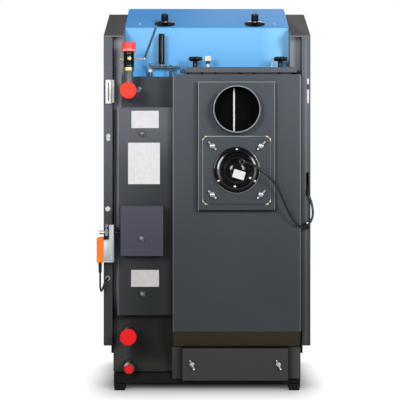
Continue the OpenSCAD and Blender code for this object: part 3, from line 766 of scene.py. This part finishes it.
sensor_x = 0.003
white = mottled(
    "white_moulding", "white_plastic", (222, 219, 206), (240, 238, 228), (30,), 0.32, 0.12
)
for name, radius, depth, middle, finish in (
    ("sensor_stem", 0.005, 0.016, 0.008, white),
    ("sensor_neck", 0.006, 0.0085, 0.0202, black),
):
    tube = disc(name, 32, radius, depth, 0.0009, 2, edges=level)
    settle(
        tube, finish, (sensor_x, knob_y, lid_top + middle),
        instead="cover_sensor",
    )
cap = block("sensor_cap", (0.02, 0.018, 0.0175), 0.0022, 3)
inset(cap, facing(y=-1), (0.003, -0.0006))
settle(cap, white, (sensor_x, knob_y, lid_top + 0.0333))
yellow = mottled(
    "yellow_dot", "white_plastic", (226, 190, 50), (240, 208, 84), (60,), Roughness=0.4
)
dot = disc("sensor_dot", 28, 0.0034, 0.0012, 0.0004, 2)
settle(dot, yellow, (sensor_x, knob_y - 0.0089, lid_top + 0.0335), to_rear)

stud = disc("lid_stud", 20, 0.0017, 0.034, 0.0006, 2)
settle(stud, steel, (0.2145, knob_y, lid_top + 0.017))


# ---- Flue plate, flue pipe and baffle
# A raised plate with the flue spigot welded into it; the pipe is sooty inside, and a thin
# upright baffle divides it.
plate_low, plate_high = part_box("flue_plate")
# Pale lines along the plate's sides and top are painted highlights, and its lower edge is painted
# dark as a shadow line.
plate_coat = powder(
    "plate_coat", (46, 50, 54), (74, 80, 87), shine=0.4,
    lit_edges=((0, plate_low.x, 1.3), (0, plate_high.x, 1.3), (2, plate_high.z, 1.0)),
    patches=(("z", plate_low.z + 0.0042, plate_low.z + 0.0026, (20, 20, 21)),),
)
coat(plate_coat, "flue_plate", 0.0024)
# A black strip behind the plate, showing beyond its sides and lower edge: a painted shadow.
lip("plate_shadow_strip", jet, plate_low.x - 0.0025, plate_high.x + 0.0031, plate_low.z - 0.0018,
    plate_high.z - 0.0018, plate_high.y - 0.00075)


def reach(across, up):
    """The distance from an axis, as a wire."""
    return (across**2.0 + up**2.0) ** 0.5


soot = Finish("flue_steel", Specular_IOR_Level=0.0)
x, y, z = soot.axes()
flue_x, flue_h = 0.095, 0.917
from_axis = reach(x - flue_x, z - flue_h)
flake = soot.noise(45, 5)
wall = soot.blend(
    soot.blend((118, 122, 128), (152, 156, 162), flake),
    soot.blend((52, 56, 62), (76, 81, 88), flake),
    y.rise(-0.4732, -0.4718),
)
soot.feed(
    Base_Color=soot.blend(
        soot.blend((3, 3, 3), (9, 8, 8), flake), wall, from_axis.rise(0.0719, 0.0725)
    ),
    Roughness=0.45 + flake * 0.35,
)
soot.bump(flake, 0.0006, 0.4)
coat(soot, "flue_pipe", 0.0012, angle=50)
edge_steel = Finish("baffle_steel", Metallic=0.8)
x, y, z = edge_steel.axes()
rust = edge_steel.noise(60, 5)
edge_steel.feed(
    Base_Color=edge_steel.blend(
        edge_steel.blend((176, 178, 178), (214, 214, 210), rust), (14, 13, 12),
        (y + 0.432).rise(0.0, 0.006),
    ),
    Roughness=0.35 + rust * 0.3,
)
edge_steel.put_on(cad["flue_baffle"])


# ---- Fan plate and gasket
# The square cover that carries the flue-gas fan, on a pale pressed gasket that shows
# round its corners.
coat(plate_coat, "fan_plate", 0.0012)
board = Finish("gasket_board", Roughness=0.85)
fibre = board.noise(260, 4, (1, 1, 2.5))
x, y, z = board.axes()
motor_x, motor_h = flue_x, 0.722
from_corner = reach(abs(x - motor_x) - 0.1105, abs(z - motor_h) - 0.1105)
# The gasket's sides are painted paler on the left than on the right, and dark along the bottom:
# painted light and shade.
shaded = board.blend((186, 188, 188), (118, 122, 126), x.rise(0.1, 0.2))
cream_board = board.blend((236, 222, 176), (252, 242, 206), fibre)
board.feed(Base_Color=board.blend(
    board.blend((74, 78, 82), cream_board, from_corner.rise(0.0078, 0.0088)),
    board.blend((60, 64, 68), shaded, z.rise(0.6135, 0.619)),
    from_corner.rise(0.013, 0.021),
))
board.bump(fibre, 0.0003, 0.6)
board.put_on(cad["fan_gasket"])


# ---- Fan motor
# A glossy black pressed cover in rings with six screws, a boss for the cable and a small
# blank label.
gloss = Finish(
    "gloss_black", "gloss_black", Specular_IOR_Level=0.2, Coat_Weight=0.4, Coat_Roughness=0.06
)
swirl = gloss.noise(12, 4)
motor_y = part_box("fan_plate")[0].y
x, y, z = gloss.axes()
# Dim arcs on the left and right of the cover's rings are a painted reflection.
away = reach(x - motor_x, z - motor_h)
sideways = (abs(x - motor_x) / away).rise(0.78, 1.0)
painted_arcs = (away.rise(0.0535, 0.057) - away.rise(0.061, 0.0645)) * sideways
gloss.feed(
    Base_Color=gloss.blend(
        gloss.blend((2, 2, 3), (7, 7, 8), swirl), (104, 98, 102), painted_arcs
    ),
    Roughness=0.1 + swirl * 0.12,
)
cover = rod("motor_cover", 96, 0.0734, 0.008)
inset(
    cover, top_face, (0.0035, 0.0), (0.003, 0.0115), (0.0035, 0.0045),
    (0.0055, 0.0012), (0.004, -0.0045), (0.0055, -0.0006), (0.004, 0.0075), (0.0025, 0.0018),
    (0.0075, 0.0008), (0.0025, -0.0032), (0.0045, 0.0), (0.0025, 0.0068), (0.002, 0.0012),
    (0.011, 0.0006),
)
bevel(cover, 0.0016, 3, ring_edge(0.0734, 0.004))
settle(cover, gloss, (motor_x, motor_y - 0.004, motor_h), to_rear, angle=28,
       instead="fan_motor")
rim = torus("motor_rim", 0.0737, 0.0011, around=96)
# The rim is painted bright on its lower right and dark on its upper left: a painted highlight.
rim_metal = Finish("rim_metal", "zinc", Metallic=0.8)
x, y, z = rim_metal.axes()
rub = rim_metal.noise(160, 3)
rim_metal.feed(
    Base_Color=rim_metal.blend(
        (14, 14, 15), (196, 198, 202), (x - motor_x - z + motor_h).rise(-0.05, 0.03)
    ),
    Roughness=0.26 + rub * 0.16,
)
settle(rim, rim_metal, (motor_x, motor_y - 0.0011, motor_h), to_rear, angle=60)
boss = disc("motor_boss", 40, 0.0088, 0.0125, 0.002, 3)
inset(boss, facing(z=1), (0.0022, -0.0008))
boss_x, boss_h = motor_x + 0.016, motor_h + 0.026
settle(boss, gloss, (boss_x, -0.4837, boss_h), to_rear, angle=50)
ring = torus("boss_ring", 0.0078, 0.0008)
settle(ring, steel, (boss_x, -0.4888, boss_h), to_rear, angle=60)
for number, (dx, dz, out) in enumerate((
    (0.0, 0.066, 0.0212), (-0.0585, -0.0345, 0.0212), (0.058, -0.0355, 0.0212),
    (-0.0065, -0.053, 0.0225), (0.0425, -0.0255, 0.0225), (-0.034, 0.018, 0.0225),
)):
    middle = (motor_x + dx, motor_y - out, motor_h + dz)
    pan_screw(f"motor_screw_{number}", 0.0038, middle, to_rear)
paper = Finish("blank_paper", "white_plastic", Roughness=0.55)
pulp = paper.noise(90, 5)
paper.feed(Base_Color=paper.blend(
    paper.blend((172, 166, 167), (196, 190, 191), pulp),
    paper.blend((196, 195, 197), (222, 221, 223), pulp),
    paper.axes()[2].rise(0.42, 0.6),
))
paper.bump(paper.noise(18, 3), 0.0006, 0.35)


def sticker(name, width, height, place, turn=to_rear):
    """A blank label with round corners and a slightly lifted surface."""
    sheet = start("grid", name, x_subdivisions=14, y_subdivisions=14, size=1)
    scaled(sheet, width, height, 1)
    choose(sheet, faces=every)
    push(z=0.0003)
    choose(sheet, edges=lambda a, b: abs(a.z - b.z) > 0.0001
           and abs(abs(a.x) - width / 2) < 1e-5 and abs(abs(a.y) - height / 2) < 1e-5)
    bpy.ops.mesh.bevel(offset=0.0015, segments=3)
    settle(sheet, paper, place, turn)


sticker("motor_label", 0.038, 0.0265, (motor_x + 0.006, -0.4836, motor_h - 0.015), (90, 17, 0))


# ---- Wing nuts
# Zinc-plated wing nuts on their studs with a washer each: four on the fan plate, two on
# the ash cover, and three with knurled grips on the duct cover and the air box.
def wing_nut(name, x, y, z, lean, plating, knurled=False):
    span = 0.5 if knurled else 1
    if knurled:
        grip = fluted(f"{name}_grip", 0.0093, 0.0125, 14, 0.0008, round_top=0.0016)
        choose(grip, faces=lambda centre, normal: centre.z > 0.011)
        resize(0.74, 0.74, 1)
        settle(grip, dark_zinc, (x, y, z), to_rear, angle=40, instead="wing_nuts")
    washer = disc(name + "_washer", 36, 0.0076, 0.0014, 0.0005, 2)
    settle(washer, plating, (x, y - 0.0007, z), to_rear)
    nut = rod(name, 16, 0.0056, 0.009)
    choose(nut, faces=lambda centre, normal: abs(normal.x) > 0.96)
    for wide, thick, tall, up in (
        (1.42, 1.9, 0.95, 0.001), (1.66, 1.0, 1.0, 0.004), (1.46, 0.85, 0.9, 0.0022)
    ):
        push()
        resize(1 + (wide - 1) * span, thick, tall)
        bpy.ops.transform.translate(value=(0, 0, up * span))
    inset(nut, lambda centre, normal: normal.z > 0.9 and centre.xy.length < 0.002, (0.0018, 0))
    smooth(nut)
    settle(nut, plating, (x, y - 0.0057, z), (90, lean, 0), angle=60, instead="wing_nuts")
    stud = disc(name + "_stud", 20, 0.0034, 0.017, 0.0009, 2)
    settle(stud, plating, (x, y - 0.0085, z), to_rear)


zinc = mottled(
    "zinc_plate", "zinc", (150, 151, 158), (222, 223, 229), (220, 4), 0.2, 0.22, Metallic=0.75
)
dull_zinc = mottled(
    "dull_zinc", "zinc", (92, 95, 102), (150, 152, 160), (180, 4), 0.3, 0.2, Metallic=0.8
)
dark_zinc = mottled(
    "dark_zinc", "zinc", (60, 66, 74), (120, 127, 136), (120, 4), 0.26, 0.2, Metallic=0.6
)
half = 0.0785
for number, (dx, dz) in enumerate(((-half, half), (half, half), (-half, -half), (half, -half))):
    wing_nut(f"fan_nut_{number}", motor_x + dx, motor_y, motor_h + dz, 45 if dx < 0 else -45, zinc)
duct_low, duct_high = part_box("air_duct_cover")
box_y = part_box("air_box")[0].y
nut_x = centre_of("air_box").x
wing_nut("duct_nut_upper", nut_x, duct_low.y, 0.843, 45, dull_zinc, knurled=True)
wing_nut("duct_nut_lower", nut_x, duct_low.y, 0.319, 45, dull_zinc, knurled=True)
wing_nut("box_nut", nut_x, box_y, 0.502, 60, dull_zinc, knurled=True)
ash_x = centre_of("ash_cover").x
for side, dx in (("left", -0.141), ("right", 0.141)):
    wing_nut(f"ash_nut_{side}", ash_x + dx, ash_low.y, 0.088, 65, zinc)


# ---- Air duct cover, air box and the blank labels
# The air duct's flat cover with three paper labels, and the box of the secondary air in
# a purple-grey coat.
# A pale line down the cover's left edge is a painted highlight, and the cover is painted paler
# towards the left and towards the top, as painted light.
duct_coat = powder(
    "duct_coat", (28, 32, 32), (69, 73, 79), shine=0.42, lit_edges=((0, duct_low.x, 1.3),), left_light=-0.18,
    patches=(("z", 0.72, 0.9, (88, 91, 97)),),
)
coat(duct_coat, "air_duct_cover", 0.0018)
lip("duct_lip", duct_coat, duct_high.x - 0.001, house_low.x + 0.0005, duct_low.z + 0.002,
    duct_high.z - 0.002, duct_low.y + 0.002)
violet_coat = powder("violet_coat", (60, 60, 72), (82, 82, 96), shine=0.4, patchy=0.8)
coat(violet_coat, "air_box", 0.0015)
for part, left, right, foot, top in (
    ("upper", -0.2475, -0.158, 0.8615, 0.918),
    ("middle", -0.2585, -0.1545, 0.678, 0.8135),
    ("lower", -0.2485, -0.1575, 0.342, 0.397),
):
    middle = ((left + right) / 2, duct_low.y, (foot + top) / 2)
    sticker(f"label_{part}", right - left, top - foot, middle)


# ---- Water pipes and their caps
# Flow and return stubs, the drain socket and the flow pipe's upright branch, of bare
# steel; bright-red plastic transport caps are pushed over their ends.
pipe_steel = Finish("pipe_steel", Metallic=0.55)
mill = pipe_steel.noise(60, 5, (1, 1, 0.4))
x, y, z = pipe_steel.axes()
# The lower stubs are painted darker than the upper branch: painted shade.
steel_tone = pipe_steel.blend(
    pipe_steel.blend((32, 34, 36), (70, 73, 76), mill),
    pipe_steel.blend((86, 91, 96), (126, 131, 136), mill),
    z.rise(0.2, 0.9),
)
# Pale crescents at the upper left of the return pipe and the drain socket, above their caps, are
# painted glints.
for middle, lit in ((return_h, 0.0192), (drain_h, 0.0135)):
    painted_glint = ((z - middle) * 0.78 - (x - pipe_x) * 0.63) - z.over(middle + 0.03)
    steel_tone = pipe_steel.blend(steel_tone, (214, 220, 226), painted_glint.rise(lit, lit + 0.005))
pipe_steel.feed(Base_Color=steel_tone, Roughness=0.3 + mill * 0.2)
pipe_steel.bump(mill, 0.0004, 0.3)
for node in ("flow_pipe", "return_pipe", "drain_socket"):
    coat(pipe_steel, node, 0.0008, angle=50)

cap_red = Finish("cap_red", "red_plastic", Specular_IOR_Level=0.25)
# The lower caps are painted a darker red than the upper one: painted shade.
cloud = cap_red.noise(90, 4)
height = cap_red.axes()[2].rise(0.25, 0.9)
cap_red.feed(
    Base_Color=cap_red.blend(
        cap_red.blend((204, 4, 4), (228, 12, 10), cloud),
        cap_red.blend((236, 44, 26), (252, 62, 40), cloud),
        height,
    ),
    Roughness=0.36 + cloud * 0.16,
)
for name, height in (("flow", flow_h), ("return", return_h)):
    cup = disc(f"{name}_cap", 80, 0.02643, 0.022, 0.0016, 3)
    inset(cup, facing(z=1), (0.0016, 0.0), (0.0012, -0.0009), (0.0195, 0.0), (0.0012, -0.0007))
    inset(cup, facing(z=-1), (0.0021, 0))
    push(z=0.018)
    settle(cup, cap_red, (pipe_x, -0.448, height), to_rear, angle=30, instead="pipe_caps")
plug = disc("drain_cap", 56, 0.0143, 0.009, 0.0014, 3)
inset(plug, facing(z=1), (0.0012, 0.0), (0.001, -0.0008), (0.0085, 0.0), (0.001, -0.0006))
settle(plug, cap_red, (pipe_x, -0.4145, drain_h), to_rear, angle=30)
pocket_nut = disc("pocket_nut", 6, 0.0068, 0.0075, 0.0008, 2, edges=level)
settle(pocket_nut, dull_zinc, (pipe_x + 0.0335, -0.3975, flow_h + 0.01), (90, 20, 0))


# ---- Draught regulator
# A thermostatic regulator screwed into the flow pipe's branch: brass hexagon, black
# moulded head, brass clamp screw, a lever bent up, and a red fluted dial.
brass = mottled(
    "brass", "brass", (200, 166, 98), (244, 222, 162), (110, 4), 0.26, 0.2, Metallic=1.0
)
coat(brass, "regulator_nut", 0.0012)
coat(brass, "pivot_screw", 0.0005, angle=50)
coat(gloss, "regulator_body", 0.0005, angle=50)
head_x, head_y = pipe_x, -0.418
for part, middle, radius, depth in (
    ("lower", 1.0605, 0.0177, 0.0075), ("middle", 1.0685, 0.0172, 0.005),
    ("upper", 1.1002, 0.0174, 0.0085),
):
    collar = disc(f"regulator_collar_{part}", 64, radius, depth, 0.0016, 3, edges=level)
    settle(collar, gloss, (head_x, head_y, middle), angle=40)
tab = block("regulator_clamp", (0.0068, 0.0035, 0.0125), 0.0008, 2)
inset(tab, facing(y=-1), (0.0019, -0.001))
settle(tab, brass, (head_x + 0.004, -0.4353, 1.0835))

dial_red = Finish("dial_red", "red_plastic", Roughness=0.4)
x, y, z = dial_red.axes()
turn = (x - head_x).math("ARCTAN2", (y - head_y) * -1.0)
tick = abs((turn * (16 / pi)).math("FRACT") - 0.5).over(0.3)
band = z.over(1.1085) * z.math("LESS_THAN", 1.1145) * abs(turn).math("LESS_THAN", 1.25)
grime = dial_red.noise(80, 4)
dial_red.feed(
    Base_Color=dial_red.blend(
        dial_red.blend((228, 56, 54), (250, 84, 80), grime), (246, 222, 222), tick * band
    ),
    Roughness=0.34 + grime * 0.16,
)
dial = fluted("regulator_dial", 0.0221, 0.03, 24, 0.0009, base=1.1063, round_top=0.0016)
bore(dial, 0.0173, 0.024)
settle(dial, dial_red, (head_x, head_y, 0), body="regulator_dial", angle=30,
       instead="regulator_knob")

lever_metal = Finish("lever_metal", Metallic=0.9)
x, y, z = lever_metal.axes()
rub = lever_metal.noise(150, 4)
arm = lever_metal.blend(
    lever_metal.blend((46, 49, 58), (80, 84, 94), rub), (120, 122, 130), z.rise(1.183, 1.186)
)
tail = lever_metal.blend((226, 192, 116), (216, 212, 206), (x - rub * 0.012).rise(-0.236, -0.216))
lever_metal.feed(
    Base_Color=lever_metal.blend(tail, arm, z.rise(1.0856, 1.0876)), Roughness=0.28 + rub * 0.2
)
lever_metal.put_on(cad["regulator_lever"])


# ---- Cleaning lever, its post, the grip and the capped stub
# A steel bar that turns in the eye of a post on the deck, bent down at one end and up at
# the other, with a ribbed black grip; beside it a pipe stub under a pale cap.
lever_steel = Finish("lever_steel", "zinc", Metallic=0.7)
x, y, z = lever_steel.axes()
rub = lever_steel.noise(120, 4)
lever_steel.feed(
    Base_Color=lever_steel.blend(
        (90, 92, 104), lever_steel.blend((70, 75, 84), (122, 127, 134), rub), z.rise(1.052, 1.062)
    ),
    Roughness=0.34 + rub * 0.2,
)
coat(lever_steel, "cleaning_lever", 0.0006, angle=50)
coat(lever_steel, "lever_post", 0.0006, angle=50)

grip_low, grip_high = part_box("lever_grip")
grip_x, grip_y, _ = centre_of("lever_grip")
grip = fluted("lever_grip_sleeve", 0.0104, 0.1, 9, 0.0012, base=grip_low.z, round_top=0.0022)
bore(grip, 0.0062, 0.0693)
settle(grip, black, (grip_x, grip_y, 0), body="cleaning_handle", angle=30,
       instead="lever_grip")
for part, middle in (("upper", grip_high.z - 0.0065), ("lower", grip_low.z + 0.0025)):
    band = torus(f"grip_band_{part}", 0.0095, 0.0012)
    settle(band, black, (grip_x, grip_y, middle), body="cleaning_handle", angle=60)

stub_low, stub_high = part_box("capped_stub")
stub_x, stub_y, _ = centre_of("capped_stub")
stub = rod("stub_tube", 48, 0.0062, 0.019)
choose(stub, faces=round_side)
bpy.ops.mesh.inset(thickness=0.006, depth=0.0007, use_boundary=True)
settle(stub, lever_steel, (stub_x, stub_y, stub_low.z + 0.0095), angle=40, instead="capped_stub")
cream = mottled("cream_cap", "white_plastic", (244, 240, 230), (255, 252, 246), (50,), 0.35, 0.15)
cap = disc("stub_cap", 48, 0.0077, 0.013, 0.0042, 5)
bevel(cap, 0.0008, 2, ring_edge(0.0077, -0.0065))
settle(cap, cream, (stub_x, stub_y, stub_high.z - 0.0065), angle=40)


# ---- Damper drive
# The damper's motor drive: a bright sheet case on the left jacket's edge with an orange
# moulded cover, a ribbed cable gland, and the zinc-plated shaft in a U-bolt clamp.
aluminium = mottled(
    "aluminium", "zinc", (150, 154, 157), (186, 189, 191), (260, 3, (1, 1, 0.15)), 0.36, 0.2,
    Metallic=0.45,
)
coat(aluminium, "actuator_case", 0.0006, angle=50)
case_low, case_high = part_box("actuator_case")
for part, left, right, foot, top in (
    ("lid", case_low.x + 0.002, case_high.x - 0.008, 0.005, 0.4935 - case_low.z),
    ("flange", case_high.x - 0.0055, case_high.x - 0.0008, 0.001, case_high.z - case_low.z - 0.001),
):
    sheet = block(f"case_{part}", (right - left, 0.0014, top - foot), 0.0005, 2)
    middle = ((left + right) / 2, case_low.y - 0.0002, case_low.z + (foot + top) / 2)
    settle(sheet, aluminium, middle)

orange = moulded(
    "orange_moulding", "orange_plastic", (240, 104, 4), (253, 128, 14), (14, 3), (500, 2), 0.4,
    0.14, 0.0002, Specular_IOR_Level=0.25,
)
low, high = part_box("actuator_cover")
shell = block("drive_cover", high - low, 0.0036, 4)
inset(shell, facing(y=-1), (0.0016, -0.0004))
inset(shell, facing(x=-1), (0.006, 0), (0.0008, -0.0007))
settle(shell, orange, (low + high) / 2, angle=30, instead="actuator_cover")

low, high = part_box("actuator_gland")
gland = start(
    "cone", "drive_gland", vertices=40, radius1=0.0055, radius2=0.0059, depth=high.z - low.z
)
choose(gland, edges=lambda a, b: abs(a.z - b.z) > 0.02)
bpy.ops.mesh.subdivide(number_cuts=15)
choose(gland, faces=lambda centre, normal: abs(normal.z) < 0.7 and centre.z < 0.006
       and int((centre.z + 0.02) / 0.002) % 2 == 0)
resize(0.95, 0.95, 1)
settle(gland, black, centre_of("actuator_gland"), angle=40, instead="actuator_gland")

shaft_steel = Finish("shaft_steel", Metallic=0.8)
# Past x = -0.3, where the shaft crosses the gap beside the jacket, it is painted near black:
# painted shade.
x, y, z = shaft_steel.axes()
rub = shaft_steel.noise(180, 4)
clamped = shaft_steel.blend((92, 95, 106), (150, 152, 164), rub)
shaft_steel.feed(
    Base_Color=shaft_steel.blend(
        shaft_steel.blend(shaft_steel.blend((214, 206, 200), (236, 230, 226), rub), clamped,
                          x.rise(-0.3345, -0.333)),
        (40, 41, 43), x.rise(-0.306, -0.3),
    ),
    Roughness=0.3 + rub * 0.2,
)
coat(shaft_steel, "damper_shaft", 0.0006, angle=50)
shaft_y = -0.418
for side, shift in (("rear", -0.0075), ("front", 0.0075)):
    nut = disc(f"clamp_nut_{side}", 6, 0.0049, 0.0036, 0.0005, 2, edges=level)
    settle(nut, dull_zinc, (-0.3255, shaft_y + shift, 0.5458), body="damper")


# ---- Fittings on the jackets' edges
# The left edge carries a white plug connector in a frame, the right one a white strip with
# a dark break; further down are pale plugs, the grommet and the cable clip.
slate = mottled("slate_moulding", "black_plastic", (40, 42, 44), (70, 72, 74), (50,), Roughness=0.5)
edge_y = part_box("left_jacket")[0].y
for name, left, right, foot, top, out, rim, finish in (
    ("connector_frame", -0.332, -0.3125, 0.941, 1.019, 0.0098, 0.0072, ivory),
    ("connector_side", -0.3098, -0.304, 0.9445, 1.0185, 0.0086, 0.0012, ivory),
    ("connector_back", -0.331, -0.3045, 0.9425, 1.0175, 0.004, 0.0, slate),
    ("strip_upper", 0.3272, 0.3334, 1.005, 1.0235, 0.0038, 0.0012, ivory),
    ("strip_break", 0.3276, 0.3342, 0.9885, 1.0045, 0.0034, 0.0016, slate),
    ("strip_lower", 0.3272, 0.3334, 0.9425, 0.988, 0.0038, 0.0012, ivory),
):
    strip = block(name, (right - left, out, top - foot), 0.0009, 2)
    if rim:
        inset(strip, facing(y=-1), (rim, 0), (0.0005, -out * 0.55))
    middle = ((left + right) / 2, edge_y - out / 2, (foot + top) / 2)
    settle(strip, finish, middle, instead="edge_connectors")
slot = block("connector_slot", (0.0042, 0.0052, 0.0585), 0.0006, 2)
settle(slot, slate, (-0.32225, edge_y - 0.0034, 0.98))

pale_plug = mottled(
    "pale_plug", "white_plastic", (176, 176, 170), (216, 216, 208), (140, 3), 0.4, 0.2
)
for part, x, height, radius in (
    ("upper", -0.3236, 0.836, 0.0069), ("lower", -0.3236, 0.826, 0.0069),
    ("single", -0.325, 0.597, 0.0084),
):
    plug = disc(f"plug_{part}", 40, radius, 0.004, 0.0014, 3)
    inset(plug, facing(z=1), (radius * 0.3, 0), (radius * 0.12, -0.0008))
    settle(plug, pale_plug, (x, edge_y - 0.002, height), to_rear, instead="flange_plugs")

grey_rubber = mottled(
    "grey_rubber", "cable_rubber", (124, 126, 122), (164, 166, 161), (90,), Roughness=0.45
)
grommet_x, _, grommet_h = centre_of("cable_grommet")
grommet_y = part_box("cable_grommet")[0].y
ring = torus("grommet_ring", 0.0063, 0.0021, across=12)
settle(ring, grey_rubber, (grommet_x, grommet_y + 0.0023, grommet_h), to_rear, angle=60,
       instead="cable_grommet")
sleeve = disc("grommet_sleeve", 48, 0.0064, 0.0036, 0.0006, 2)
settle(
    sleeve, slate, (grommet_x, grommet_y + 0.0042, grommet_h), to_rear,
    angle=50,
)
coat(black, "cable_clip", 0.002)
low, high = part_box("cable_clip")
middle = (low.x + 0.006, low.y - 0.0004, high.z - 0.0036)
pan_screw("clip_screw", 0.0027, middle, to_rear, ivory)


# ---- Front: doors, hinges and handles
# The side that faces away: a plain panel with the loading door and the ash door, pressed
# rims, black hinges and upright moulded handles.
door_coat = powder("door_coat", (30, 31, 33), (46, 48, 51), shine=0.4)
door_coat.slot = "black_paint"
coat(door_coat, "loading_door", 0.004)
coat(door_coat, "ash_door", 0.004)
coat(black_paint, "door_hinges", 0.0015, angle=50)
for name in ("loading", "ash"):
    low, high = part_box(f"{name}_door")
    panel = block(
        f"{name}_panel", (high.x - low.x - 0.06, 0.003, high.z - low.z - 0.06), 0.012, 5,
        edges=lambda first, second: abs(first.y - second.y) > 0.001,
    )
    inset(panel, facing(y=1), (0.004, 0.0018))
    middle = centre_of(f"{name}_door")
    settle(panel, door_coat, (middle.x, high.y + 0.001, middle.z))
handle_x = centre_of("door_handles").x
handle_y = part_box("door_handles")[1].y - 0.011
door_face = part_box("loading_door")[1].y
for name, foot in (("loading", 0.805), ("ash", 0.355)):
    bar = fluted(f"{name}_handle", 0.0108, 0.15, 8, 0.0011, base=foot, round_top=0.004)
    settle(bar, black, (handle_x, handle_y, 0), angle=30, instead="door_handles")
    shank = disc(f"{name}_shank", 48, 0.0118, handle_y - door_face, 0.0015, 2, edges=level)
    middle = (handle_x, (handle_y + door_face) / 2, foot + 0.012)
    settle(shank, black, middle, to_rear)
